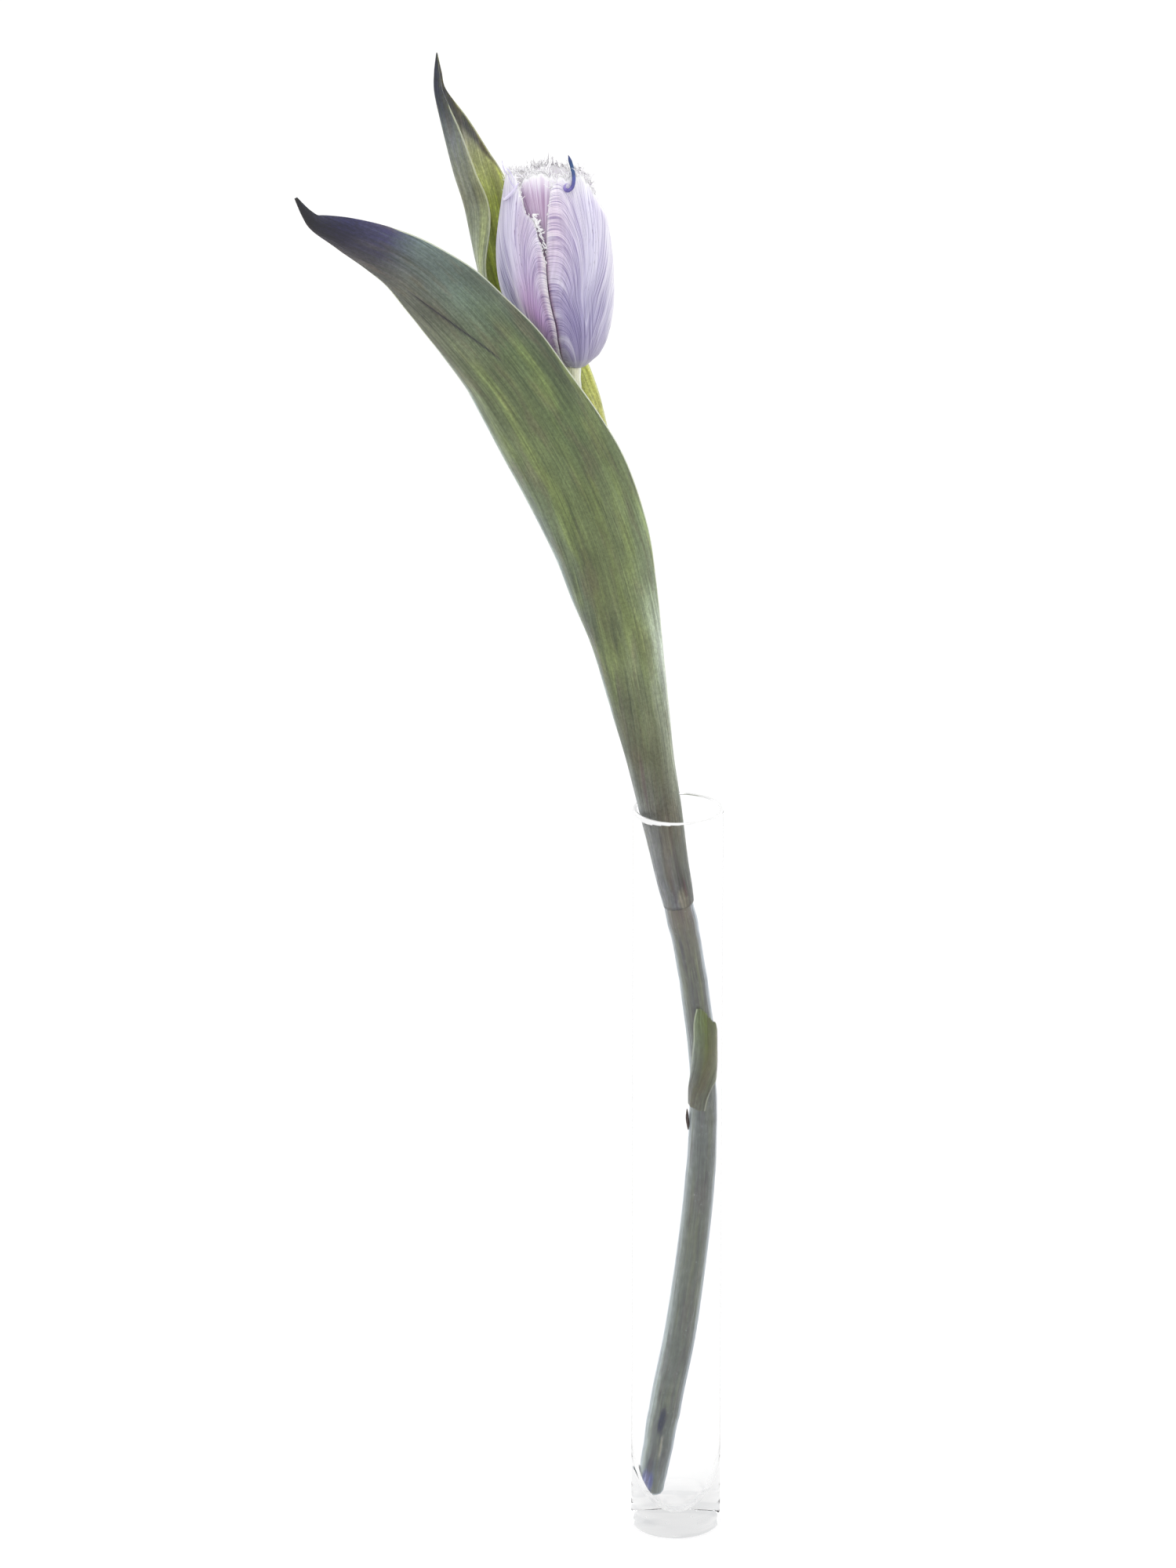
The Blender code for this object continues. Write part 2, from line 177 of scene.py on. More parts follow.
# above the stem's right side the stub stands away from it: height, radius, facing, wrap to the left,
# length to the right, with its directions at the midrib and at the margin
STUB_FLARE = [
    (174.0, 5.6, -78, 44, 6.0, 10, 16),
    (178.0, 5.7, -74, 40, 6.3, 8, 10),
    (184.0, 5.8, -70, 36, 6.0, 8, 8),
    (189.0, 5.9, -62, 28, 4.8, 18, 14),
]
# how far from the vase's axis the middle of the stub's sheet may reach
STUB_LIMIT = 13.2
# share of the stub's length that is left, from its left margin (-1) to its right one (1)
STUB_TEAR = [(-1, 0.97), (-0.5, 0.985), (0, 0.94), (0.3, 0.9), (0.55, 0.84), (0.8, 0.77), (1, 0.66)]
# thickness of the two large leaves along the middle and at the margin
LEAF_MIDDLE = 0.9
LEAF_EDGE = 0.3
LEAF_ROW_LENGTH = 0.8
LEAF_HALF_COLUMNS = 30

# bloom: centre line and outer radius, by height above the receptacle
BLOOM_BASE_Z = 410.2
BLOOM_AXIS = [
    (0, -33.9, -2.0),
    (15, -37.2, -1.0),
    (28, -40.2, -0.2),
    (40, -41.3, 0.0),
    (54, -41.6, 0.0),
    (76, -41.8, 0.0),
]
BLOOM_RADIUS = [
    (0.0, 3.3),
    (1.2, 3.9),
    (2.5, 5.6),
    (5.3, 8.9),
    (9.6, 12.1),
    (14.0, 14.4),
    (22.0, 17.5),
    (31.0, 19.1),
    (39.0, 19.1),
    (47.0, 18.2),
    (55.0, 17.0),
    (61.5, 15.9),
    (67.0, 15.0),
    (76.0, 14.2),
]
# the bloom is a little flatter on its left
BLOOM_FLAT_SIDE = 1.4

# Each petal: its midrib and its two margins as (height, degrees), and its top height by degrees
PETALS = {
    "outer_petal_left": {
        "midrib": [(0, -138), (28, -122), (38, -125), (48, -132), (72, -134)],
        "start": [(0, -208), (30, -210), (72, -206)],
        "end": [(0, -119.5), (4, -113), (10, -103.5), (20, -95.9), (40, -95.2), (72, -94.6)],
        "top": [
            (-206, 52), (-195, 60), (-180, 64.5), (-165, 66.5), (-150, 67), (-138, 66), (-131, 63.5),
            (-125, 59.5), (-119, 56.5), (-110, 54), (-104, 50.5), (-99, 45.5), (-94.6, 41),
        ],
    },
    "outer_petal_right": {
        "midrib": [(0, -66), (28, -60), (38, -51), (48, -45), (72, -43)],
        "start": [(0, -118.5), (4, -112), (10, -102.7), (20, -95.5), (40, -95), (56, -93), (66, -89)],
        "end": [(0, 26), (30, 28), (72, 24)],
        "top": [
            (-89, 64.5), (-82, 67), (-70, 67.5), (-62, 67.5), (-50, 67), (-40, 65), (-23, 59.5),
            (-12, 54.5), (0, 51.5), (15, 48), (24, 43),
        ],
    },
    "outer_petal_back": {
        "midrib": [(0, 90), (72, 90)],
        "start": [(0, 31), (30, 30), (72, 34)],
        "end": [(0, 149), (30, 150), (72, 146)],
        "top": [(34, 44), (45, 56), (62, 61), (90, 63), (118, 62), (135, 57), (146, 46)],
    },
    "inner_petal_front": {
        "midrib": [(0, -106), (74, -106)],
        "start": [(0, -148), (30, -150), (74, -146)],
        "end": [(0, -32), (30, -32), (74, -40)],
        "top": [(-146, 57), (-138, 63), (-125, 67), (-106, 68.5), (-88, 67.5), (-70, 64), (-40, 54)],
    },
    "inner_petal_right": {
        "midrib": [(0, 30), (72, 30)],
        "start": [(0, -28), (30, -30), (72, -26)],
        "end": [(0, 88), (30, 90), (72, 86)],
        "top": [(-26, 50), (-12, 54), (5, 57), (25, 60.5), (50, 62.5), (70, 59), (86, 50)],
    },
    "inner_petal_left": {
        "midrib": [(0, 150), (72, 150)],
        "start": [(0, 92), (30, 90), (72, 94)],
        "end": [(0, 208), (30, 210), (72, 206)],
        "top": [(94, 50), (110, 59), (130, 62.5), (150, 63.5), (175, 63), (195, 59), (206, 51)],
    },
}
INNER_NESTING = 1.5
PETAL_HEIGHT = 68
PETAL_ROWS = 116
PETAL_COLUMNS = 84
PETAL_THICKNESS = 0.55
# how far a petal's veins climb between its midrib and its margin, and where they are highest
VEIN_CLIMB = 42
VEIN_CREST = 0.85
# the fringe: the share of places left bare, the shreds' half widths, and how much flatter than wide
FRINGE_BARE = 0.4
FRINGE_WIDTHS = (0.12, 0.32)
FRINGE_FLATTENING = 0.85


# ---------------------------------------------------------------- numbers


def srgb(*values):
    """A linear colour from the 0 to 255 values that a screen shows."""
    share = np.asarray(values, float) / 255
    return np.where(share <= 0.04045, share / 12.92, ((share + 0.055) / 1.055) ** 2.4)


def colour(*values):
    return (*srgb(*values), 1.0)


def interpolate(table, keys):
    """Smooth values at the keys, from rows that start with an increasing key (Catmull-Rom)."""
    table = np.asarray(table, float)
    last = len(table) - 1
    keys = np.clip(np.asarray(keys, float), table[0, 0], table[last, 0])
    i = np.clip(np.searchsorted(table[:, 0], keys, side="right") - 1, 0, last - 1)
    before = table[np.maximum(i - 1, 0), 1:]
    start = table[i, 1:]
    end = table[i + 1, 1:]
    after = table[np.minimum(i + 2, last), 1:]
    t = ((keys - table[i, 0]) / (table[i + 1, 0] - table[i, 0]))[..., None]
    return 0.5 * (
        2 * start
        + (end - before) * t
        + (2 * before - 5 * start + 4 * end - after) * t**2
        + (3 * start - before - 3 * end + after) * t**3
    )


def smoothstep(low, high, values):
    t = np.clip((np.asarray(values, float) - low) / (high - low), 0, 1)
    return t * t * (3 - 2 * t)


def window(low, full, fade, gone, values):
    """Rises from 0 to 1 between low and full, and falls back to 0 between fade and gone."""
    return smoothstep(low, full, values) * (1 - smoothstep(fade, gone, values))


def spot(*axes):
    """1 at the middle of a soft spot; each axis is (values, the middle's value, width)."""
    return np.exp(-sum(((values - middle) / width) ** 2 for values, middle, width in axes))


def blend(a, b, share):
    """Colours a where share is 0 and b where it is 1."""
    share = np.asarray(share)[..., None]
    return np.asarray(a) * (1 - share) + np.asarray(b) * share


def paint(colours, shade, share):
    """Colours blended towards one shade, which is given as a screen shows it."""
    return blend(colours, srgb(*shade), share)


def paint_marks(colours, up, around, marks):
    """Colours with marks of (place up, place around, half height, half width, shade, strength)."""
    for middle_up, middle_around, half_height, half_width, shade, strength in marks:
        distance = np.hypot((up - middle_up) / half_height, (around - middle_around) / half_width)
        colours = paint(colours, shade, strength * (1 - smoothstep(0.5, 1.1, distance)))
    return colours


def palette(rows, along, across):
    """Colours from rows of (place along, colour, colour, ...), the colours spread evenly across."""
    keys = [row[0] for row in rows]
    colours = np.array([[srgb(*c) for c in row[1:]] for row in rows])
    count = colours.shape[1]
    place = np.clip(across, 0, 1) * (count - 1)
    result = np.zeros((*np.shape(along), 3))
    for column in range(count):
        share = np.clip(1 - np.abs(place - column), 0, 1)
        line = np.stack([np.interp(along, keys, colours[:, column, k]) for k in range(3)], axis=-1)
        result += line * share[..., None]
    return result


def ripple(values, waves, seed):
    """A smooth, uneven wave of about unit height: a few sines of unlike length."""
    rng = np.random.default_rng(seed)
    total = 0
    for _ in range(waves):
        total = total + np.sin(values * rng.uniform(0.5, 1.6) + rng.uniform(0, 2 * math.pi)) / waves
    return total * 1.5


# ---------------------------------------------------------------- meshes


class Build:
    """One mesh put together from parts; points are in millimetres."""

    def __init__(self):
        self.points = []
        self.faces = []
        self.grain = []
        self.mark = []
        self.tint = []
        self.slots = []
        self.count = 0

    def add(self, points, faces, tint, grain=(0, 0, 0), mark=(0, 0, 0), slot=0):
        points = np.asarray(points, float).reshape(-1, 3)
        size = len(points)
        self.points.append(points)
        self.faces += [tuple(i + self.count for i in face) for face in faces]
        self.slots += [slot] * len(faces)
        for store, value in ((self.grain, grain), (self.mark, mark), (self.tint, tint)):
            value = np.asarray(value, float)
            store.append(np.broadcast_to(value.reshape(-1, 3), (size, 3)))
        self.count += size

    def finish(self, name, materials):
        mesh = bpy.data.meshes.new(name)
        mesh.from_pydata((np.concatenate(self.points) * MM).tolist(), [], self.faces)
        for material in materials:
            mesh.materials.append(material)
        mesh.polygons.foreach_set("material_index", self.slots)
        for label, store in (("grain", self.grain), ("mark", self.mark)):
            layer = mesh.attributes.new(label, "FLOAT_VECTOR", "POINT")
            layer.data.foreach_set("vector", np.concatenate(store).astype("f").ravel())
        tint = np.concatenate(self.tint)
        layer = mesh.attributes.new("tint", "FLOAT_COLOR", "POINT")
        layer.data.foreach_set("color", np.column_stack([tint, np.ones(len(tint))]).astype("f").ravel())
        mesh.update()
        mesh.shade_smooth()
        return link(name, mesh)


def link(name, data):
    """A new object in the scene."""
    made = bpy.data.objects.new(name, data)
    bpy.context.scene.collection.objects.link(made)
    return made


def grid_faces(rows, columns, closed=False):
    faces = []
    for r in range(rows - 1):
        for c in range(columns if closed else columns - 1):
            d = (c + 1) % columns
            faces.append((r * columns + c, r * columns + d, (r + 1) * columns + d, (r + 1) * columns + c))
    return faces


def capped_faces(rings, sides):
    """Faces of a closed tube of rings, whose two end points follow after its rings."""
    faces = grid_faces(rings, sides, closed=True)
    last = (rings - 1) * sides
    for side in range(sides):
        after = (side + 1) % sides
        faces.append((rings * sides, after, side))
        faces.append((rings * sides + 1, last + side, last + after))
    return faces


def grid_normals(grid):
    along = np.gradient(grid, axis=0)
    across = np.gradient(grid, axis=1)
    normals = np.cross(across, along)
    return normals / np.maximum(np.linalg.norm(normals, axis=2, keepdims=True), 1e-9)


def add_sheet(build, middle, thickness, outer_tint, inner_tint, grain, mark):
    """A closed sheet round a grid of middle points; grain's third value is 1 outside, -1 inside."""
    rows, columns = middle.shape[:2]
    offset = grid_normals(middle) * thickness[..., None] / 2
    flip = grain * (1, 1, -1)
    points = np.concatenate([(middle + offset).reshape(-1, 3), (middle - offset).reshape(-1, 3)])
    size = rows * columns
    outside = grid_faces(rows, columns)
    faces = outside + [tuple(i + size for i in reversed(face)) for face in outside]
    loop = list(range(columns))
    loop += [r * columns + columns - 1 for r in range(1, rows)]
    loop += [(rows - 1) * columns + c for c in range(columns - 2, -1, -1)]
    loop += [r * columns for r in range(rows - 2, 0, -1)]
    for a, b in zip(loop, loop[1:] + loop[:1]):
        faces.append((b, a, a + size, b + size))
    build.add(
        points,
        faces,
        np.concatenate([outer_tint.reshape(-1, 3), inner_tint.reshape(-1, 3)]),
        np.concatenate([grain.reshape(-1, 3), flip.reshape(-1, 3)]),
        np.concatenate([mark.reshape(-1, 3)] * 2),
    )


def tube_frames(centres):
    """Two directions across the path at each of its points, carried along without twist."""
    tangents = np.gradient(centres, axis=0)
    tangents /= np.linalg.norm(tangents, axis=1, keepdims=True)
    first = np.array([1.0, 0, 0]) if abs(tangents[0, 0]) < 0.9 else np.array([0, 1.0, 0])
    sides = []
    for tangent in tangents:
        first = first - tangent * (first @ tangent)
        first = first / np.linalg.norm(first)
        sides.append((first, np.cross(tangent, first)))
    return np.array(sides)


def add_tube(build, centres, radii, sides, tint=WHITE, slot=0):
    """A closed tube; radii is one number a ring, or one a ring and side."""
    centres = np.asarray(centres, float)
    rings = len(centres)
    frames = tube_frames(centres)
    angles = 2 * math.pi * np.arange(sides) / sides
    radii = np.broadcast_to(np.asarray(radii, float).reshape(rings, -1), (rings, sides))
    across = np.cos(angles)[:, None] * frames[:, None, 0] + np.sin(angles)[:, None] * frames[:, None, 1]
    points = centres[:, None] + across * radii[..., None]
    points = np.concatenate([points.reshape(-1, 3), centres[:1], centres[-1:]])
    lengths = np.concatenate([[0], np.cumsum(np.linalg.norm(np.diff(centres, axis=0), axis=1))])
    grain = np.zeros((rings, sides, 3))
    grain[..., 0] = np.cos(angles)
    grain[..., 1] = lengths[:, None]
    grain[..., 2] = np.sin(angles)
    ends = [[0, 0, 0], [0, lengths[-1], 0]]
    grain = np.concatenate([grain.reshape(-1, 3), ends])
    tint = np.asarray(tint, float)
    if tint.ndim == 3:
        tint = np.concatenate([tint.reshape(-1, 3), tint[0].mean(0)[None], tint[-1].mean(0)[None]])
    build.add(points, capped_faces(rings, sides), tint, grain, slot=slot)


def add_turned(build, profile, steps, inward=False, centre=(0, 0, 0)):
    """A solid of revolution about Z; the profile starts and ends on the axis, from its top down."""
    profile = np.asarray(profile, float)
    angles = 2 * math.pi * np.arange(steps) / steps
    ring = np.stack([np.cos(angles), np.sin(angles), np.zeros(steps)], axis=1)
    body = profile[1:-1]
    points = body[:, None, :1] * ring[None]
    points[..., 2] = body[:, 1:]
    points = np.concatenate([points.reshape(-1, 3), [[0, 0, profile[0, 1]], [0, 0, profile[-1, 1]]]])
    faces = capped_faces(len(body), steps)
    if not inward:
        faces = [tuple(reversed(face)) for face in faces]
    build.add(points + np.asarray(centre), faces, WHITE, points)


# ---------------------------------------------------------------- materials


class Nodes:
    """A short way to write the nodes of a material or of the world."""

    def __init__(self, owner):
        owner.use_nodes = True
        self.owner = owner
        self.tree = owner.node_tree
        self.shader = self.tree.nodes.get("Principled BSDF")
        self.output = self.tree.nodes.get("Material Output")

    def add(self, kind, inputs=None, **settings):
        made = self.tree.nodes.new(kind)
        for key, value in settings.items():
            setattr(made, key, value)
        for key, value in (inputs or {}).items():
            self.feed(made.inputs[key], value)
        return made

    def feed(self, socket, value):
        if isinstance(value, bpy.types.NodeSocket):
            self.tree.links.new(value, socket)
        else:
            socket.default_value = value

    def tint(self):
        return self.add("ShaderNodeAttribute", attribute_name="tint").outputs["Color"]

    def parts(self, name):
        """The three numbers of a named vector of the mesh."""
        vector = self.add("ShaderNodeAttribute", attribute_name=name).outputs["Vector"]
        return self.add("ShaderNodeSeparateXYZ", {"Vector": vector}).outputs

    def maths(self, operation, a, b=0.0):
        return self.add("ShaderNodeMath", {0: a, 1: b}, operation=operation).outputs[0]

    def times(self, a, b):
        return self.maths("MULTIPLY", a, b)

    def join(self, x, y, z):
        return self.add("ShaderNodeCombineXYZ", {"X": x, "Y": y, "Z": z}).outputs[0]

    def noise(self, vector, detail=2.0, scale=1.0):
        inputs = {"Vector": vector, "Scale": scale, "Detail": detail}
        return self.add("ShaderNodeTexNoise", inputs).outputs["Fac"]

    def spread(self, value, low, high, to_low=0.0, to_high=1.0):
        inputs = {"Value": value, "From Min": low, "From Max": high, "To Min": to_low, "To Max": to_high}
        return self.add("ShaderNodeMapRange", inputs, interpolation_type="SMOOTHSTEP").outputs[0]

    def mix(self, share, a, b, blend_type="MIX"):
        made = self.add("ShaderNodeMix", data_type="RGBA", blend_type=blend_type)
        for place, value in ((0, share), (6, a), (7, b)):
            self.feed(made.inputs[place], value)
        return made.outputs[2]

    def grade(self, shade, *steps):
        """A colour made lighter and darker by steps of (value, low, high, factor at low, at high)."""
        for step in steps:
            inputs = {0: shade, "Scale": self.spread(*step)}
            shade = self.add("ShaderNodeVectorMath", inputs, operation="SCALE").outputs[0]
        return shade

    def bump(self, height, distance):
        return self.add("ShaderNodeBump", {"Height": height, "Distance": distance}).outputs[0]

    def set(self, **inputs):
        for key, value in inputs.items():
            self.feed(self.shader.inputs[key.replace("_", " ")], value)

    def glow(self, weight, radius, scale=0.001):
        self.set(Subsurface_Weight=weight, Subsurface_Radius=radius, Subsurface_Scale=scale)

    def sheen(self, weight, roughness, tint=(1, 1, 1, 1)):
        self.set(Sheen_Weight=weight, Sheen_Roughness=roughness, Sheen_Tint=tint)

    def cover(self, share, upper):
        """Mixes another shader over the surface."""
        inputs = {0: share, 1: self.shader.outputs[0], 2: upper.outputs[0]}
        self.feed(self.output.inputs["Surface"], self.add("ShaderNodeMixShader", inputs).outputs[0])

    def seen(self, whitened):
        """A share that is whitened for what the eye, a reflection or glass sees, and 0 for other light."""
        path = self.add("ShaderNodeLightPath").outputs
        larger = self.maths("MAXIMUM", path["Is Camera Ray"], path["Is Glossy Ray"])
        return self.times(self.maths("MAXIMUM", larger, path["Is Transmission Ray"]), whitened)


def new_material(name):
    return Nodes(bpy.data.materials.new(name))


def leaf_material(name, streak, vein, glow, depth, rim):
    """A waxy leaf: parallel veins, long paler and darker streaks, patches and a thin pale margin."""
    n = new_material(name)
    across, along, side = n.parts("grain")
    margin, crease, dry = n.parts("mark")
    tint = n.tint()

    def grain(width, length, detail, seed=0.0):
        x = n.maths("DIVIDE", across, width)
        y = n.maths("DIVIDE", along, length)
        return n.noise(n.join(x, y, n.maths("ADD", side, seed)), detail)

    fine = grain(0.5, 30, 3)
    pale = grain(1.5, 60, 3)
    dark = grain(1.1, 35, 2, 7.0)
    broken = grain(0.9, 7, 4)
    brown = grain(4.0, 22, 3, 13.0)
    green = grain(5.0, 40, 2, 19.0)
    blotch = grain(6.0, 14, 5)
    speckle = grain(0.3, 0.5, 2)
    wrinkle = grain(0.8, 1.4, 4, 29.0)
    hair = grain(0.22, 16, 2, 37.0)
    shade = n.mix(n.spread(brown, 0.48, 0.66, 0.0, 0.4), tint, colour(106, 96, 76))
    blade = n.times(n.spread(along, 40.0, 90.0), n.spread(along, 195.0, 235.0, 1.0, 0.0))
    shade = n.mix(n.times(blade, n.spread(green, 0.48, 0.66, 0.0, 0.4)), shade, streak)
    shade = n.mix(n.spread(fine, 0.34, 0.6, 0.36, 0.0), shade, vein)
    shade = n.grade(
        shade,
        (pale, 0.46, 0.68, 1.0, 1.26),
        (broken, 0.54, 0.72, 1.0, 1.14),
        (dark, 0.32, 0.52, 0.78, 1.0),
        (hair, 0.3, 0.7, 0.86, 1.12),
        (blotch, 0.25, 0.75, 0.82, 1.18),
        (wrinkle, 0.3, 0.7, 0.84, 1.14),
        (speckle, 0.3, 0.7, 0.9, 1.1),
    )
    dried = n.grade(tint, (broken, 0.35, 0.7, 0.75, 1.3), (wrinkle, 0.35, 0.65, 0.8, 1.2))
    shade = n.mix(dry, shade, dried)
    shade = n.mix(crease, shade, colour(44, 36, 54))
    n.set(
        Base_Color=n.mix(n.spread(margin, 0.22, 0.62, rim, 0.0), shade, colour(226, 232, 214)),
        Roughness=n.spread(blotch, 0.3, 0.7, 0.5, 0.38),
        Normal=n.bump(n.maths("ADD", fine, n.times(wrinkle, 0.5)), 0.00022),
    )
    n.glow(glow, (1.1, 1.05, 0.4), depth)
    n.sheen(0.22, 0.3, (0.82, 0.93, 1.0, 1.0))
    return n.owner


def petal_material(name, vein):
    """A thin petal: fine veins that arch from the midrib to the margin, and frosted margins."""
    n = new_material(name)
    label, reach, height = n.parts("grain")
    frost, arch, bruise = n.parts("mark")
    tint = n.tint()

    def weave(a, a_scale, b, b_scale, seed, detail):
        return n.noise(n.join(n.times(a, a_scale), n.times(b, b_scale), seed), detail)

    # the veins crowd towards the midrib, so the pattern is coarser there along its label
    relief = weave(arch, 2.2, height, 0.03, 21.0, 2)
    veins = n.spread(relief, 0.34, 0.5, 0.8, 0.0)
    bands = ((0.6, 0.06, 0.2, 9.0), (1.15, 0.34, 0.5, 5.0), (2.0, 0.58, 0.76, 14.0))
    for frequency, low, high, seed in bands:
        wave = weave(label, frequency, arch, 0.03, seed, 1)
        thin = n.spread(n.maths("ABSOLUTE", n.maths("SUBTRACT", wave, 0.5)), 0.0, 0.075, 1.0, 0.0)
        share = n.spread(reach, low, high)
        veins = n.mix(share, veins, thin)
        relief = n.mix(share, relief, wave)
    fibres = weave(arch, 1.3, height, 0.05, 3.0, 3)
    tone = weave(label, 0.16, arch, 0.08, 7.0, 3)
    cloud = weave(arch, 0.13, height, 0.08, 1.0, 3)
    dots = weave(arch, 1.6, height, 0.4, 5.0, 2)
    strength = n.times(n.spread(height, -1.0, 1.0, 0.3, 1.0), n.spread(cloud, 0.3, 0.7, 0.7, 1.0))
    veined = n.mix(1.0, tint, vein, "MULTIPLY")
    shade = n.mix(n.times(veins, strength), tint, veined)
    shade = n.mix(n.spread(tone, 0.5, 0.72, 0.0, 0.35), shade, veined)
    shade = n.mix(n.spread(tone, 0.3, 0.46, 0.3, 0.0), shade, colour(246, 243, 252))
    shade = n.grade(shade, (fibres, 0.3, 0.7, 0.93, 1.05), (cloud, 0.25, 0.75, 0.95, 1.05))
    shade = n.mix(n.times(n.spread(dots, 0.62, 0.7), bruise), shade, colour(126, 100, 142))
    n.set(
        Base_Color=n.mix(frost, shade, colour(252, 251, 255)),
        Roughness=n.spread(fibres, 0.3, 0.7, 0.5, 0.4),
        Normal=n.bump(n.maths("ADD", relief, n.times(fibres, 0.4)), 0.00022),
    )
    n.glow(0.5, (1.25, 1.15, 1.4))
    n.sheen(0.4, 0.4, (0.93, 0.95, 1.0, 1.0))
    return n.owner


def fringe_material():
    """Glassy, nearly white hairs, a little clouded along their length."""
    n = new_material("petal fringe")
    _, along, _ = n.parts("grain")
    cloud = n.noise(n.join(along, along, 0.0), scale=1.4)
    n.set(
        Base_Color=n.grade(n.tint(), (cloud, 0.3, 0.7, 0.98, 1.0)),
        Roughness=n.spread(cloud, 0.3, 0.7, 0.3, 0.45),
    )
    n.sheen(0.6, 0.4)
    return n.owner


def stem_material():
    """A smooth, waxy stem with long streaks and bruises, and a soft gloss towards its edges."""
    n = new_material("stem skin")
    x, along, y = n.parts("grain")

    def grain(across, length, detail, seed=0.0):
        place = n.maths("ADD", n.maths("DIVIDE", along, length), seed)
        return n.noise(n.join(n.times(x, across), place, n.times(y, across)), detail)

    # the pale top, under the bloom, is plain
    plain = n.spread(along, 350.0, 385.0, 1.0, 0.0)
    streaks = grain(4.5, 30, 3)
    dark = grain(6.0, 22, 2, 5.0)
    fine = grain(13.0, 12, 3)
    mottle = grain(3.0, 2.5, 4)
    purple = grain(3.0, 20, 2, 11.0)
    dots = grain(10.0, 0.5, 1)
    shade = n.tint()
    for value, low, high, at_low, at_high, other in (
        (streaks, 0.46, 0.64, 0.0, 0.35, (122, 126, 100)),
        (purple, 0.5, 0.66, 0.0, 0.35, (94, 84, 92)),
        (dark, 0.3, 0.44, 0.4, 0.0, (66, 68, 76)),
    ):
        share = n.times(plain, n.spread(value, low, high, at_low, at_high))
        shade = n.mix(share, shade, colour(*other))
    shade = n.grade(shade, (fine, 0.3, 0.7, 0.86, 1.14), (mottle, 0.3, 0.7, 0.86, 1.14))
    bump = n.bump(n.maths("ADD", fine, n.times(mottle, 0.5)), 0.00018)
    n.set(
        Base_Color=n.mix(n.spread(dots, 0.7, 0.76, 0.0, 0.6), shade, colour(186, 194, 194)),
        Roughness=n.spread(mottle, 0.3, 0.7, 0.34, 0.5),
        Normal=bump,
    )
    n.glow(0.15, (1.0, 1.0, 0.6))
    n.sheen(0.4, 0.3, (0.85, 0.93, 1.0, 1.0))
    facing = n.add("ShaderNodeLayerWeight", {"Blend": 0.5, "Normal": bump}).outputs["Facing"]
    inputs = {"Color": colour(222, 230, 240), "Roughness": 0.5, "Normal": bump}
    n.cover(n.spread(facing, 0.3, 1.0, 0.0, 0.6), n.add("ShaderNodeBsdfAnisotropic", inputs))
    return n.owner


def glass_material(name, clarity, roughness, polish=0.0):
    """Clear glass, with the faint streaks and grey of its thick base."""
    n = new_material(name)
    x, y, z = n.parts("grain")
    streaks = n.noise(n.join(n.times(x, 0.05), n.times(y, 0.05), n.times(z, 0.4)), 1)
    thick = n.spread(z, 5.0, 10.0, 1.0, 0.0)
    share = n.times(thick, n.spread(streaks, 0.45, 0.58))
    n.set(
        Base_Color=n.mix(share, colour(255, 255, 255), colour(238, 239, 240)),
        Roughness=roughness,
        Transmission_Weight=clarity,
        IOR=GLASS_IOR,
        Normal=n.bump(n.times(streaks, thick), 0.0005),
    )
    if polish:
        inputs = {"Color": colour(255, 255, 255), "Roughness": roughness}
        n.cover(polish, n.add("ShaderNodeBsdfAnisotropic", inputs))
    depth = n.add("ShaderNodeVolumeAbsorption", {"Color": colour(120, 122, 124), "Density": GLASS_GREY})
    n.feed(n.output.inputs["Volume"], depth.outputs[0])
    return n.owner


def plain_material(name, dark, light, roughness, scale):
    """A soft organic surface: two colours clouded together, with a fine matching bump."""
    n = new_material(name)
    place = n.add("ShaderNodeTexCoord").outputs["Object"]
    cloud = n.noise(place, 4, scale)
    fine = n.noise(place, 3, scale * 6)
    shade = n.mix(n.spread(cloud, 0.3, 0.7), colour(*dark), colour(*light))
    shade = n.mix(1.0, shade, n.tint(), "MULTIPLY")
    n.set(
        Base_Color=n.grade(shade, (fine, 0.3, 0.7, 0.85, 1.15)),
        Roughness=n.spread(cloud, 0.3, 0.7, roughness, roughness + 0.15),
        Normal=n.bump(fine, 0.0002),
    )
    n.glow(0.2, (1.0, 1.0, 0.6))
    return n.owner


# ---------------------------------------------------------------- vase


def arc(centre_r, centre_z, radius, start, end, segments):
    angles = np.radians(np.linspace(start, end, segments + 1))
    return [(centre_r + radius * math.cos(a), centre_z + radius * math.sin(a)) for a in angles]


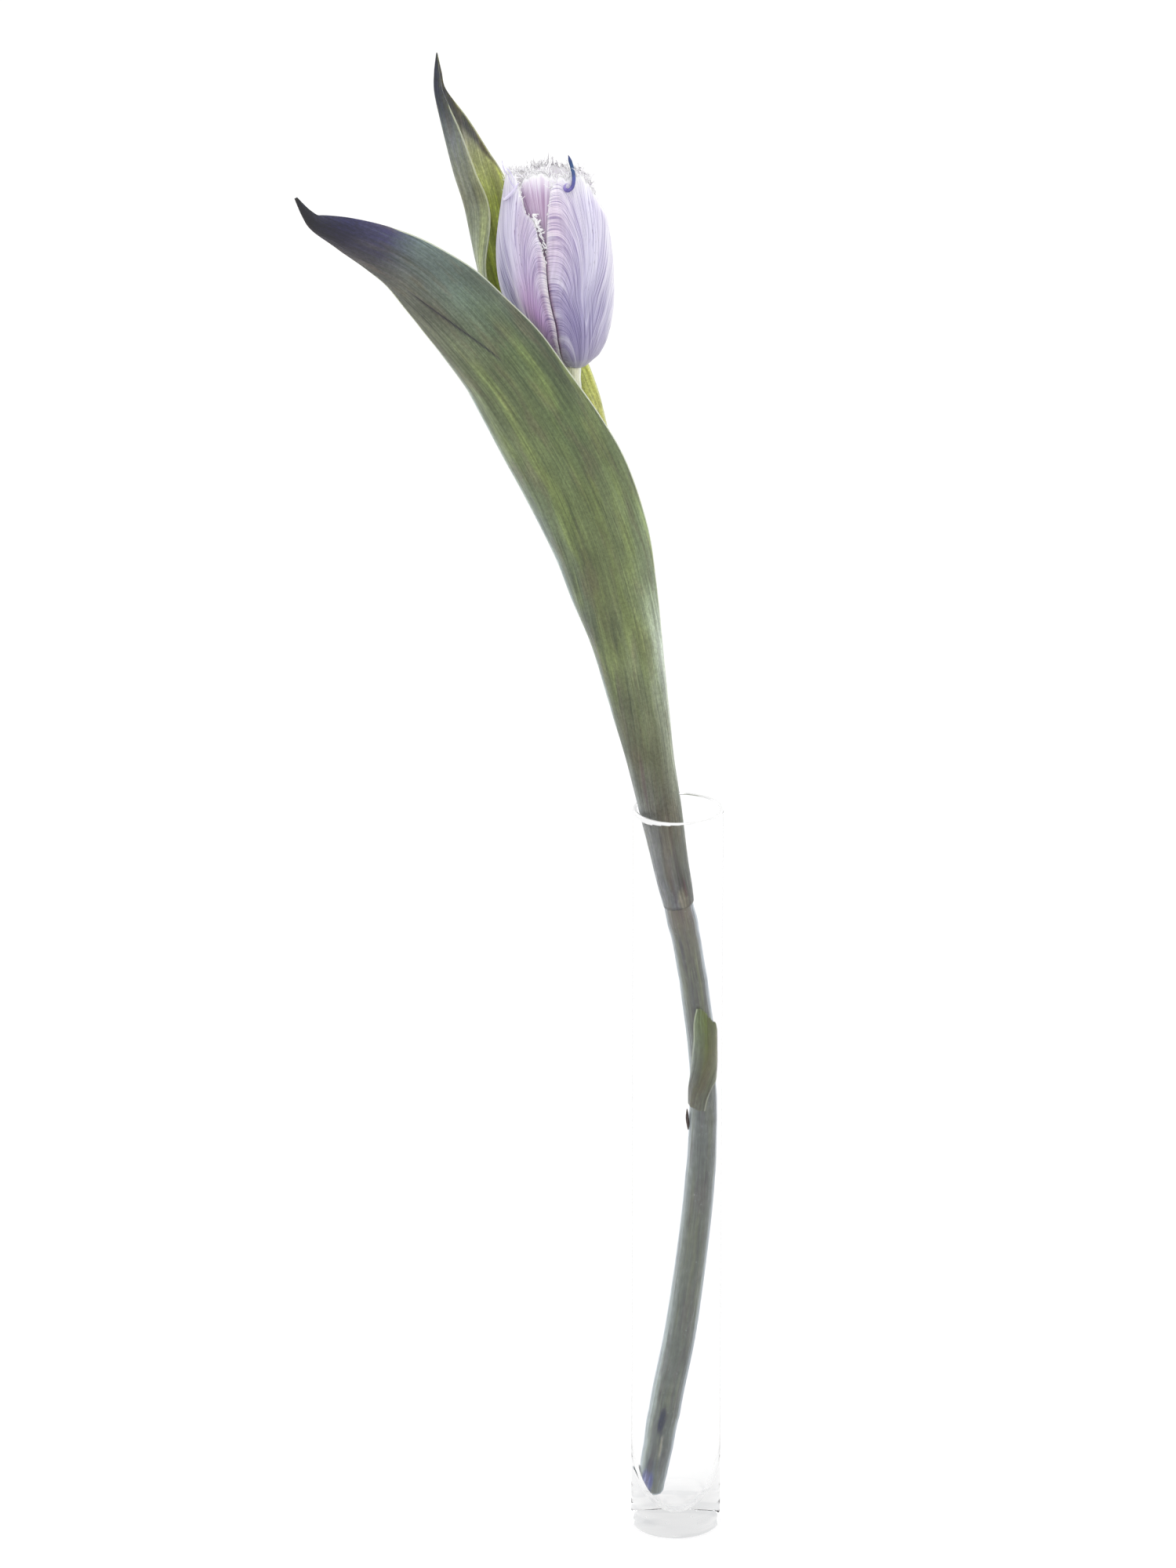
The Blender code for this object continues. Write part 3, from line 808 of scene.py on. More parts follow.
def make_vase():
    _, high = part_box("vase")
    radius = high[0] / MM
    height = high[2] / MM
    inner = radius - VASE_WALL
    base = VASE_BASE_THICKNESS
    lip = VASE_WALL / 2
    foot = radius - VASE_FOOT_ROUND
    # the bowl is drawn out upwards, so the wall grows thicker towards the base
    bowl = [(r, base + (z - base) * VASE_BOWL_STRETCH) for r, z in arc(0, base + inner, inner, -90, 0, 32)]
    bowl[0] = (0, base)
    top = bowl[-1][1]
    near_rim = [height - lip - drop for drop in (3.0, 2.2, 1.8, 1.4, 1.0, 0.6, 0.3)]
    profile = bowl + [(inner, top + (height - 4 - top) * i / 8) for i in range(1, 9)]
    profile += [(inner, z) for z in near_rim]
    profile += arc(inner + lip, height - lip, lip, 180, 0, 12)
    profile += [(radius, z) for z in reversed(near_rim)]
    profile += [(radius, height - 4 + (VASE_FOOT_ROUND - height + 4) * i / 10) for i in range(10)]
    profile += arc(foot, VASE_FOOT_ROUND, VASE_FOOT_ROUND, 0, -90, 10)
    build = Build()
    add_turned(build, profile + [(foot * 0.97, 0), (foot * 0.6, 0), (0, 0)], VASE_STEPS)
    # the lip is a whiter, less clear band of glass under a real gloss: a painted highlight, deepest at its
    # left front
    centres = np.array([build.points[0][list(face)].mean(axis=0) for face in build.faces])
    turn = np.degrees(np.arctan2(centres[:, 1], centres[:, 0]))
    depth = 0.5 + 1.1 * spot((turn, -135, 32))
    build.slots = list((centres[:, 2] > height - depth).astype(int))
    for degrees, distance, z, size in VASE_BUBBLES:
        turn = math.radians(degrees)
        ball = arc(0, 0, size, 90, -90, 8)
        ball[0] = (0, size)
        ball[-1] = (0, -size)
        centre = (distance * math.cos(turn), distance * math.sin(turn), z)
        add_turned(build, ball, 14, inward=True, centre=centre)
    clear = glass_material("clear glass", 1.0, 0.0)
    # the second material, a whiter and less clear glass, is a painted highlight on the lip
    piece = build.finish("vase_glass", [clear, glass_material("lip painted highlight", 0.3, 0.2, 0.5)])
    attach(piece, "root")
    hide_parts("vase")


# ---------------------------------------------------------------- stem


def stem_at(heights):
    """Centres and radii of the stem at these heights."""
    table = [(height, x, y, radius) for x, y, height, radius in STEM_POINTS]
    heights = np.asarray(heights, float)
    values = interpolate(table, heights)
    centres = np.stack([values[..., 0], values[..., 1], heights], axis=-1)
    swell = sum(STEM_NODE_SWELL * spot((heights, z, STEM_NODE_LENGTH)) for z in STEM_NODES)
    return centres, values[..., 2] + swell


STEM_COLOURS = [
    (11, (122, 130, 128)),
    (22, (104, 110, 110)),
    (40, (99, 105, 101)),
    (110, (101, 106, 99)),
    (148, (103, 108, 107)),
    (200, (98, 100, 92)),
    (215, (104, 103, 93)),
    (222, (104, 96, 90)),
    (250, (104, 96, 90)),
    (285, (112, 112, 84)),
    (370, (140, 150, 110)),
    (384, (240, 238, 206)),
    (410, (246, 244, 216)),
]
# marks on the stem: height, direction in degrees, half height, half width in degrees, colour, strength
STEM_MARKS = [
    (39.5, -96, 6.0, 15, (34, 38, 72), 1.0),
    (33.0, -86, 3.5, 9, (58, 62, 92), 0.5),
    (30.0, -84, 5.0, 2.5, (176, 172, 158), 0.6),
    (15.5, -116, 6.0, 34, (88, 94, 156), 0.95),
    (17.5, -120, 2.8, 5, (168, 174, 210), 0.7),
    (15.5, -104, 3.0, 4, (150, 156, 200), 0.6),
    (12.2, -112, 1.8, 24, (48, 52, 92), 0.8),
    (22.5, -110, 3.0, 20, (70, 76, 96), 0.6),
    (148.0, -60, 2.0, 40, (78, 80, 80), 0.5),
    (208.0, -112, 10.0, 8, (70, 70, 84), 0.6),
    (198.0, -60, 14.0, 9, (120, 124, 96), 0.6),
    (190.0, -100, 14.0, 7, (82, 82, 92), 0.5),
]


def held_by_glass(points, limit):
    """The share of their distance from the vase's axis that keeps points within the limit."""
    reached = np.hypot(points[..., 0], points[..., 1])
    free = limit - GLASS_CUSHION
    held = limit - GLASS_CUSHION * np.exp(-np.maximum(reached - free, 0) / GLASS_CUSHION)
    return np.where(reached > free, held / reached, 1)[..., None]


def make_stem():
    bottom = STEM_POINTS[0][2]
    top = STEM_POINTS[-1][2]
    heights = np.linspace(bottom, top, round((top - bottom) / STEM_ROW_LENGTH))
    centres, radii = stem_at(heights)
    angles = 2 * math.pi * np.arange(STEM_SIDES) / STEM_SIDES
    degrees = np.degrees(angles)
    up = heights[:, None]
    ribs = 0.045 * np.sin(17 * angles + 0.6) + 0.03 * np.sin(29 * angles + 2.1)
    uneven = 0.05 * ripple(up / 9, 4, 3) * np.cos(angles - 1)
    fade = smoothstep(0, 8, up - bottom) * smoothstep(0, 8, top - up)
    rings = radii[:, None] + (ribs + uneven) * fade
    # painted highlights: a broad pale band on the left and a narrow one on the right stand in for the
    # light that the stem's sides catch
    low = 1 - smoothstep(255, 300, up)
    left = (0.9 - 0.5 * smoothstep(50, 100, up)) * low * spot((degrees, 205, 26))
    right = (0.45 + 0.4 * smoothstep(120, 170, up)) * low * spot((degrees, 342, 15))
    tint = palette(STEM_COLOURS, up + 0 * degrees, 0)
    tint = paint(paint(tint, (172, 184, 182), left), (158, 168, 172), right)
    for z, direction, *mark in STEM_MARKS:
        turn = (degrees - direction + 180) % 360 - 180
        tint = paint_marks(tint, up, turn, [(z, 0, *mark)])
    build = Build()
    add_tube(build, centres, rings, STEM_SIDES, tint)
    # the cut end slants up on the left, where it rests on the bowl of the vase
    points = build.points[0]
    slant = bottom + STEM_CUT_SLOPE * (STEM_CUT_START - points[:, 0])
    points[:, 2] = np.maximum(points[:, 2], slant)
    # at its bend it leans against the inside of the glass, with the stub between them higher up
    z = points[:, 2]
    limit = STEM_LIMIT - STEM_STUB_ROOM * window(154, 162, 176, 190, z)
    inside = z < 200
    points[inside, :2] *= held_by_glass(points[inside], limit[inside])
    add_scar(build)
    scar = plain_material("bud scar", (52, 40, 38), (96, 84, 80), 0.6, 900)
    piece = build.finish("stem_skin", [stem_material(), scar])
    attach(piece, "root")
    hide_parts("stem")


def add_scar(build):
    """The dry little scale beside the lower node, on the left."""
    heights = np.linspace(143.5, 151.0, 14)
    centres, radii = stem_at(heights)
    t = np.linspace(0, 1, 14)
    outward = np.array([math.cos(math.radians(192)), math.sin(math.radians(192)), 0])
    path = centres + outward * (radii + 0.4 + 0.6 * t**1.5)[:, None]
    scale_radii = 0.1 + 0.45 * np.sin(math.pi * np.clip(t, 0.02, 0.97)) ** 0.8
    add_tube(build, path, scale_radii, 10, slot=1)


# ---------------------------------------------------------------- leaves


def sheath_station(height, radius, facing, wrap_left, wrap_right=None):
    """A leaf station that lies round the stem, open on the side away from facing."""
    if wrap_right is None:
        wrap_right = wrap_left
    centre, _ = stem_at(height)
    x = centre[0] + radius * math.cos(math.radians(facing))
    y = centre[1] + radius * math.sin(math.radians(facing))
    left = (radius * math.radians(wrap_left), facing - 90, facing - 90 - wrap_left)
    right = (radius * math.radians(wrap_right), facing + 90, facing + 90 + wrap_right)
    return (x, y, height, *left, *right)


def unwrapped(stations):
    """Turns each direction by full turns so that it follows the station before it."""
    result = [list(stations[0])]
    for station in stations[1:]:
        row = list(station)
        for i in (4, 5, 7, 8):
            row[i] -= 360 * round((row[i] - result[-1][i]) / 360)
        result.append(row)
    return np.array(result, float)


def half_section(length, start, end, fold):
    """Offsets across one half of every row; fold gathers the turn near two thirds of the width."""
    place = (np.arange(LEAF_HALF_COLUMNS) + 0.5) / LEAF_HALF_COLUMNS
    folded = 0.1 * place + 0.9 * smoothstep(0.56, 0.74, place)
    turn = place[None] * (1 - fold[:, None]) + folded[None] * fold[:, None]
    angles = np.radians(start[:, None] + (end - start)[:, None] * turn)
    step = length[:, None] / LEAF_HALF_COLUMNS
    x = np.cumsum(step * np.cos(angles), axis=1)
    y = np.cumsum(step * np.sin(angles), axis=1)
    return x, y


def leaf_grid(stations, left_fold=()):
    """The middle surface of a leaf, with millimetres across and along, and the half widths."""
    stations = unwrapped(stations)
    gaps = np.linalg.norm(np.diff(stations[:, :3], axis=0), axis=1)
    keys = np.concatenate([[0], np.cumsum(gaps)])
    along = np.linspace(0, keys[-1], round(keys[-1] / LEAF_ROW_LENGTH))
    values = interpolate(np.column_stack([keys, stations]), along)
    midrib = values[:, :3]
    tangents = np.gradient(midrib, axis=0)
    tangents /= np.linalg.norm(tangents, axis=1, keepdims=True)
    across = np.array([1.0, 0, 0]) - tangents * tangents[:, :1]
    across /= np.linalg.norm(across, axis=1, keepdims=True)
    depth = np.cross(tangents, across)
    flat = np.zeros(len(along))
    fold = np.interp(along / keys[-1], *left_fold) if left_fold else flat
    lengths = np.maximum(values[:, [3, 6]], 0.15)
    left = half_section(lengths[:, 0], values[:, 4], values[:, 5], fold)
    right = half_section(lengths[:, 1], values[:, 7], values[:, 8], flat)
    zero = np.zeros((len(along), 1))
    a = np.concatenate([left[0][:, ::-1], zero, right[0]], axis=1)
    b = np.concatenate([left[1][:, ::-1], zero, right[1]], axis=1)
    grid = midrib[:, None] + across[:, None] * a[..., None] + depth[:, None] * b[..., None]
    side = np.linspace(-1, 1, 2 * LEAF_HALF_COLUMNS + 1)[None]
    width = np.where(side < 0, lengths[:, :1], lengths[:, 1:])
    return grid, np.repeat(along[:, None], side.size, axis=1), side * width, side + 0 * width, width


def margin_distance(along, side, width):
    """Millimetres to the nearest side margin or to the tip."""
    return np.minimum((1 - np.abs(side)) * width, (along.max() - along) * 0.5 + 0.05)


def leaf_thickness(margin, along):
    """Thickest along the middle, thin at the margins and the tip, and thin where it leaves the stem."""
    thickness = LEAF_EDGE + (LEAF_MIDDLE - LEAF_EDGE) * smoothstep(0, 3.5, margin)
    thickness = thickness * (0.35 + 0.65 * smoothstep(0, 6, along.max() - along))
    return thickness * (0.3 + 0.7 * smoothstep(0, 40, along))


def groove(across, along, path, half_width):
    """1 on a line through the (along, across) points of path, falling off at half_width from it."""
    first, last = path[0][0], path[-1][0]
    line = interpolate(path, along)[..., 0]
    return spot((across, line, half_width)) * window(first, first + 8, last - 8, last, along)


def leaf_build(grid, thickness, outside, inside, across, along, *marks):
    """A leaf's closed sheet, with the numbers that its material reads."""
    build = Build()
    grain = np.stack([across, along, np.ones_like(across)], axis=-1)
    add_sheet(build, grid, thickness, outside, inside, grain, np.stack(marks, axis=-1))
    return build


FRONT_LEAF_OUTSIDE = [
    # share along, then colours from the left margin to the right one
    (0.0, (148, 154, 162), (154, 158, 166), (76, 72, 73), (138, 142, 134)),
    (0.1, (150, 155, 164), (138, 140, 140), (87, 84, 76), (146, 152, 140)),
    (0.19, (130, 136, 126), (86, 88, 68), (100, 102, 77), (166, 174, 152)),
    (0.3, (98, 106, 90), (98, 105, 75), (130, 141, 103), (206, 216, 204)),
    (0.4, (108, 119, 114), (90, 98, 60), (112, 124, 81), (146, 162, 128)),
    (0.5, (118, 130, 121), (103, 117, 70), (100, 111, 74), (120, 136, 89)),
    (0.6, (118, 129, 103), (107, 120, 76), (92, 109, 68), (82, 93, 60)),
    (0.7, (100, 109, 80), (107, 119, 82), (90, 105, 68), (70, 80, 60)),
    (0.79, (101, 103, 85), (101, 106, 90), (98, 114, 102), (80, 92, 80)),
    (0.85, (98, 98, 89), (92, 92, 88), (102, 113, 112), (102, 118, 118)),
    (0.885, (84, 80, 76), (64, 60, 70), (60, 58, 90), (58, 54, 96)),
    (0.93, (48, 42, 52), (28, 24, 42), (28, 26, 52), (36, 36, 76)),
    (0.97, (18, 15, 27), (15, 13, 25), (16, 15, 28), (22, 24, 44)),
    (1.0, (15, 13, 24), (14, 12, 23), (15, 15, 26), (20, 22, 40)),
]
FRONT_LEAF_INSIDE = [
    (0.0, (120, 128, 96), (118, 126, 92)),
    (0.4, (118, 140, 88), (112, 134, 82)),
    (0.85, (112, 132, 96), (106, 126, 90)),
    (0.92, (78, 82, 94), (70, 74, 94)),
    (1.0, (54, 50, 72), (54, 52, 76)),
]
# marks round the node: millimetres along and across, half height, half width, colour, strength
FRONT_LEAF_MARKS = [
    (0.5, 2.0, 0.8, 14.0, (70, 64, 66), 0.6),
    (3.4, 4.0, 4.4, 2.2, (142, 136, 120), 0.75),
    (7.5, 5.4, 5.0, 0.7, (88, 62, 68), 0.8),
    (9.0, 1.4, 10.0, 0.8, (76, 70, 78), 0.6),
    (22.0, 0.6, 11.0, 0.7, (84, 76, 80), 0.5),
    (28.0, 4.0, 9.0, 0.8, (96, 88, 84), 0.5),
    (48.0, -2.0, 12.0, 0.8, (90, 66, 72), 0.5),
    (44.0, 5.0, 12.0, 0.9, (92, 90, 78), 0.4),
]
FRONT_LEAF_CREASE = [(204, 1.0), (214, -0.8), (224, -3.0), (236, -5.0), (247, -6.0)]


def make_front_leaf():
    stations = [sheath_station(*row) for row in FRONT_LEAF_SHEATH] + FRONT_LEAF_BLADE
    fold = ([0, 0.25, 0.36, 0.68, 0.8], [0, 0, 1, 1, 0])
    grid, along, across, side, width = leaf_grid(stations, fold)
    share = along / along.max()
    margin = margin_distance(along, side, width)
    crease = groove(across, along, FRONT_LEAF_CREASE, 0.42)
    wide = np.clip(width / 15, 0, 1)
    relief = 0.10 * ripple(across * 1.1 + 0.8 * np.sin(along / 40), 5, 11) * wide
    relief += 0.30 * ripple(along / 11, 3, 12) * np.abs(side) ** 3 * wide * smoothstep(0.25, 0.4, share)
    grid = grid + grid_normals(grid) * (relief - 0.55 * crease)[..., None]
    outside = palette(FRONT_LEAF_OUTSIDE, share, (side + 1) / 2)
    inside = palette(FRONT_LEAF_INSIDE, share, (side + 1) / 2)
    # a painted highlight: a pale strip along the left margin stands in for light caught by the leaf's
    # curled left side
    left_edge_highlight = 1 - smoothstep(0.4, 2.0, (1 + side) * width)
    outside = paint(outside, (190, 204, 208), 0.8 * window(0.08, 0.2, 0.66, 0.8, share) * left_edge_highlight)
    outside = paint_marks(outside, along, across, FRONT_LEAF_MARKS)
    dry = smoothstep(0.87, 0.93, share)
    thickness = leaf_thickness(margin, along)
    build = leaf_build(grid, thickness, outside, inside, across, along, margin + 2 * dry, crease, dry)
    material = leaf_material("front leaf", colour(132, 148, 78), colour(58, 72, 48), 0.3, 0.001, 0.65)
    piece = build.finish("leaf_front", [material])
    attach(piece, "root")
    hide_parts("front_leaf")


# the halves swap sides here: the left half is the one further from -Y
BACK_LEAF_OUTSIDE = [
    (0.0, (136, 142, 118), (136, 144, 122), (158, 166, 148)),
    (0.3, (136, 148, 120), (156, 170, 150), (156, 168, 148)),
    (0.55, (132, 144, 114), (156, 168, 146), (128, 142, 108)),
    (0.75, (134, 138, 112), (134, 142, 118), (124, 132, 106)),
    (0.84, (130, 130, 116), (134, 136, 126), (134, 138, 120)),
    (0.89, (88, 90, 98), (104, 108, 114), (116, 120, 122)),
    (0.93, (36, 36, 54), (42, 46, 66), (54, 58, 78)),
    (1.0, (22, 20, 36), (22, 24, 42), (28, 32, 50)),
]
# five colours here: the far margin, half way, the keel, half way, the near margin; they are raised well
# above the leaf's own colour to paint the light that shines through it from behind, a painted glow
BACK_LEAF_INSIDE = [
    (0.0, (200, 206, 150), (190, 198, 130), (180, 186, 100), (170, 178, 96), (160, 170, 100)),
    (0.3, (206, 206, 120), (206, 204, 92), (180, 186, 84), (160, 170, 80), (150, 160, 90)),
    (0.45, (250, 250, 206), (236, 234, 120), (170, 180, 76), (140, 152, 66), (130, 142, 70)),
    (0.6, (210, 220, 112), (190, 204, 88), (160, 174, 74), (140, 152, 66), (130, 144, 70)),
    (0.74, (150, 162, 66), (170, 184, 78), (158, 168, 88), (150, 160, 84), (150, 160, 90)),
    (0.79, (150, 162, 78), (180, 192, 96), (212, 218, 150), (180, 188, 120), (160, 168, 110)),
    (0.83, (196, 204, 128), (212, 218, 152), (218, 220, 180), (190, 192, 150), (160, 162, 130)),
    (0.88, (150, 150, 130), (168, 168, 146), (184, 182, 162), (136, 138, 130), (112, 114, 114)),
    (0.93, (44, 44, 60), (50, 52, 68), (54, 54, 70), (48, 50, 66), (44, 46, 64)),
    (1.0, (22, 20, 34), (24, 24, 38), (26, 26, 42), (28, 28, 44), (30, 30, 46)),
]


def make_back_leaf():
    stations = [sheath_station(*row) for row in BACK_LEAF_SHEATH]
    for x, y, z, near, near_start, near_end, far, far_start, far_end in BACK_LEAF_BLADE:
        stations.append((x, y, z, far, far_start, far_end, near, near_start, near_end))
    grid, along, across, side, width = leaf_grid(stations)
    share = along / along.max()
    margin = margin_distance(along, side, width)
    wide = np.clip(width / 15, 0, 1)
    relief = 0.09 * ripple(across * 1.2 + 0.7 * np.sin(along / 35), 5, 21) * wide
    relief += 0.28 * ripple(along / 10, 3, 22) * np.abs(side) ** 3 * wide
    grid = grid + grid_normals(grid) * relief[..., None]
    outside = palette(BACK_LEAF_OUTSIDE, share, (side + 1) / 2)
    # the inside's colours carry a painted glow of light shining through the leaf
    inside = palette(BACK_LEAF_INSIDE, share, (side + 1) / 2)
    # a dark band along the far margin, wider towards the tip
    band = 0.4 + 3.4 * smoothstep(0.8, 0.92, share)
    far_edge = (1 + side) * width
    dark = (1 - smoothstep(0.6 * band, 1.4 * band, far_edge)) * smoothstep(0.77, 0.82, share)
    inside = paint(inside, (54, 54, 70), 0.9 * dark)
    dry = smoothstep(0.92, 0.96, share)
    thickness = leaf_thickness(margin, along)
    build = leaf_build(grid, thickness, outside, inside, across, along, margin + 2 * dry, 0 * margin, dry)
    material = leaf_material("back leaf", colour(180, 188, 116), colour(92, 106, 62), 0.5, 0.0015, 0.35)
    piece = build.finish("leaf_back", [material])
    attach(piece, "root")
    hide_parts("back_leaf")


STUB_OUTSIDE = [
    (0.0, (110, 113, 112), (98, 97, 88), (98, 101, 94)),
    (0.3, (129, 136, 137), (94, 93, 73), (94, 97, 82)),
    (0.6, (124, 133, 126), (92, 97, 58), (92, 99, 68)),
    (1.0, (118, 132, 101), (102, 118, 60), (98, 116, 64)),
]
STUB_INSIDE = [(0, (150, 160, 120)), (1, (150, 164, 112))]


def flare_station(height, radius, facing, wrap_left, length, start, end):
    """A station that lies on the stem to the left of facing and stands away from it to the right."""
    x, y, height, *left, _, _, _ = sheath_station(height, radius, facing, wrap_left)
    return (x, y, height, *left, length, start, end)


def make_stub():
    """The torn base of a lower leaf, with its ragged upper edge."""
    stations = [sheath_station(*row) for row in STUB_SHEATH] + [flare_station(*row) for row in STUB_FLARE]
    grid, along, across, side, width = leaf_grid(stations)
    share = along / along.max()
    # the tear: each column's points are gathered below the height at which it ends
    rng = np.random.default_rng(41)
    columns = grid.shape[1]
    reach = np.interp(side[0], *zip(*STUB_TEAR))
    teeth = np.repeat(rng.uniform(-1, 1, columns // 3 + 1), 3)[:columns]
    reach = np.minimum(reach + 0.016 * teeth + 0.012 * rng.uniform(-1, 1, columns), 1)
    rows = np.arange(len(grid))
    for column in range(columns):
        for axis in range(3):
            grid[:, column, axis] = np.interp(rows * reach[column], rows, grid[:, column, axis].copy())
    grid = grid + grid_normals(grid) * (0.12 * ripple(across * 1.6, 4, 42))[..., None]
    # its right side leans against the inside of the glass
    grid[..., :2] *= held_by_glass(grid, STUB_LIMIT)
    margin = (1 - np.abs(side)) * width
    thickness = 0.25 + 0.35 * smoothstep(0, 2, np.minimum(margin, (1 - share) * 40 + 0.05))
    outside = palette(STUB_OUTSIDE, share, (side + 1) / 2)
    inside = palette(STUB_INSIDE, share, 0)
    build = leaf_build(grid, thickness, outside, inside, across, along, margin, 0 * margin, 0 * margin)
    material = leaf_material("torn leaf base", colour(128, 142, 82), colour(66, 74, 42), 0.3, 0.001, 0.3)
    piece = build.finish("leaf_stub", [material])
    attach(piece, "root")
    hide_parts("lower_leaf_stub")


# ---------------------------------------------------------------- bloom


def bloom_points(height, radius, degrees):
    """Points of the bloom, from their height above the receptacle and distance from its axis."""
    centre = interpolate(BLOOM_AXIS, height)
    angle = np.radians(degrees)
    x = centre[..., 0] + radius * np.cos(angle)
    y = centre[..., 1] + radius * np.sin(angle)
    return np.stack([x, y, height + BLOOM_BASE_Z], axis=-1)


PETAL_OUTSIDE = [
    # share of the height, then colours from the midrib to the margin
    (0.0, (196, 192, 186), (176, 168, 186), (170, 160, 176)),
    (0.08, (178, 172, 188), (166, 157, 184), (168, 156, 180)),
    (0.3, (190, 185, 212), (174, 167, 198), (184, 172, 200)),
    (0.6, (219, 215, 238), (207, 199, 223), (213, 201, 225)),
    (0.85, (224, 220, 241), (217, 209, 231), (222, 211, 232)),
    (1.0, (250, 249, 255), (248, 245, 253), (249, 246, 252)),
]
PETAL_INSIDE = [
    (0.0, (224, 220, 200), (220, 216, 200)),
    (0.2, (224, 214, 230), (220, 210, 228)),
    (0.6, (240, 230, 242), (240, 232, 244)),
    (0.8, (252, 248, 253), (252, 249, 253)),
    (1.0, (254, 252, 254), (254, 253, 255)),
]
BLUSH = (208, 164, 216)
SEAM_SHADE = (196, 172, 192)
FRINGE_WHITE = (253, 252, 254)


def petal_radius(height, degrees, inner):
    """The bloom's radius, less for the inner petals and on its flat side."""
    radius = interpolate(BLOOM_RADIUS, height)[..., 0]
    left = np.clip(-np.cos(np.radians(degrees)), 0, 1) ** 1.5
    radius = radius - BLOOM_FLAT_SIDE * left * smoothstep(12, 36, height)
    radius = radius - 1.2 * spot((degrees, -5, 35)) * smoothstep(50, 62, height)
    if inner:
        front = smoothstep(-175, -120, degrees) * (degrees < -20)
        radius = radius - INNER_NESTING * smoothstep(-4, 8, height)
        radius = radius - 0.9 * smoothstep(40, 62, height) * front
    return radius


def petal_colours(name, height, degrees, reach):
    """Colours of the outside and the inside of a petal."""
    outside = palette(PETAL_OUTSIDE, height / PETAL_HEIGHT, reach)
    inside = palette(PETAL_INSIDE, height / PETAL_HEIGHT, reach)

    def blot(middle, width, middle_height, half_height):
        return spot((degrees, middle, width), (height, middle_height, half_height))

    if name == "outer_petal_left":
        # the blush, a darker left side that is painted shade, a dusky top and a blue stripe, then a line
        # of painted shade along the seam and the seam's pale margin
        outside = paint(outside, BLUSH, 0.85 * blot(-116, 15, 22, 15))
        outside = outside * (1 - 0.14 * (1 - smoothstep(-152, -130, degrees)))[..., None]
        outside = paint(outside, (200, 182, 208), 0.6 * blot(-122, 12, 52, 11))
        outside = paint(outside, (124, 120, 172), 0.7 * blot(-148, 10, 27, 16))
        rim = (interpolate(PETALS[name]["end"], height)[..., 0] - degrees) * 0.3
        seam = window(3, 8, 42, 48, height)
        outside = paint(outside, (168, 140, 168), 0.55 * seam * spot((rim, 1.9, 0.45)))
        outside = paint(outside, (234, 222, 230), 0.8 * seam * (1 - smoothstep(0.9, 1.5, rim)))
    if name == "outer_petal_right":
        # painted shade at the foot, a pale right side that is a painted highlight, painted shade along the
        # seam, and a rosy patch above it
        outside = paint(outside, (146, 137, 182), 0.65 * blot(-74, 30, 12, 18))
        pale = smoothstep(-35, -6, degrees) * window(0, 22, 46, 56, height)
        outside = paint(outside, (250, 249, 255), 0.75 * pale)
        rim = degrees - interpolate(PETALS[name]["start"], height)[..., 0]
        seam = (1 - smoothstep(1.2, 4.0, rim)) * window(3, 8, 40, 48, height)
        outside = paint(outside, (152, 120, 150), 0.85 * seam)
        outside = paint(outside, (226, 208, 224), 0.6 * blot(-86, 14, 52, 12))
    if name == "inner_petal_front":
        outside = paint(outside, (198, 180, 200), 0.85 * window(40, 50, 58, 68, height))
        outside = paint(outside, SEAM_SHADE, 0.9 * (1 - smoothstep(42, 49, height)))
    return outside, inside


def vein_label(name, height, degrees, reach):
    """A number that is the same all along a vein."""
    if name == "inner_petal_front":
        return 60 + 30 * np.arctan2((degrees + 96) * 0.27, np.maximum(height - 46.5, 0.8))
    return height + 60 - VEIN_CLIMB * (1 - np.abs(1 - reach / VEIN_CREST) ** 2.4)


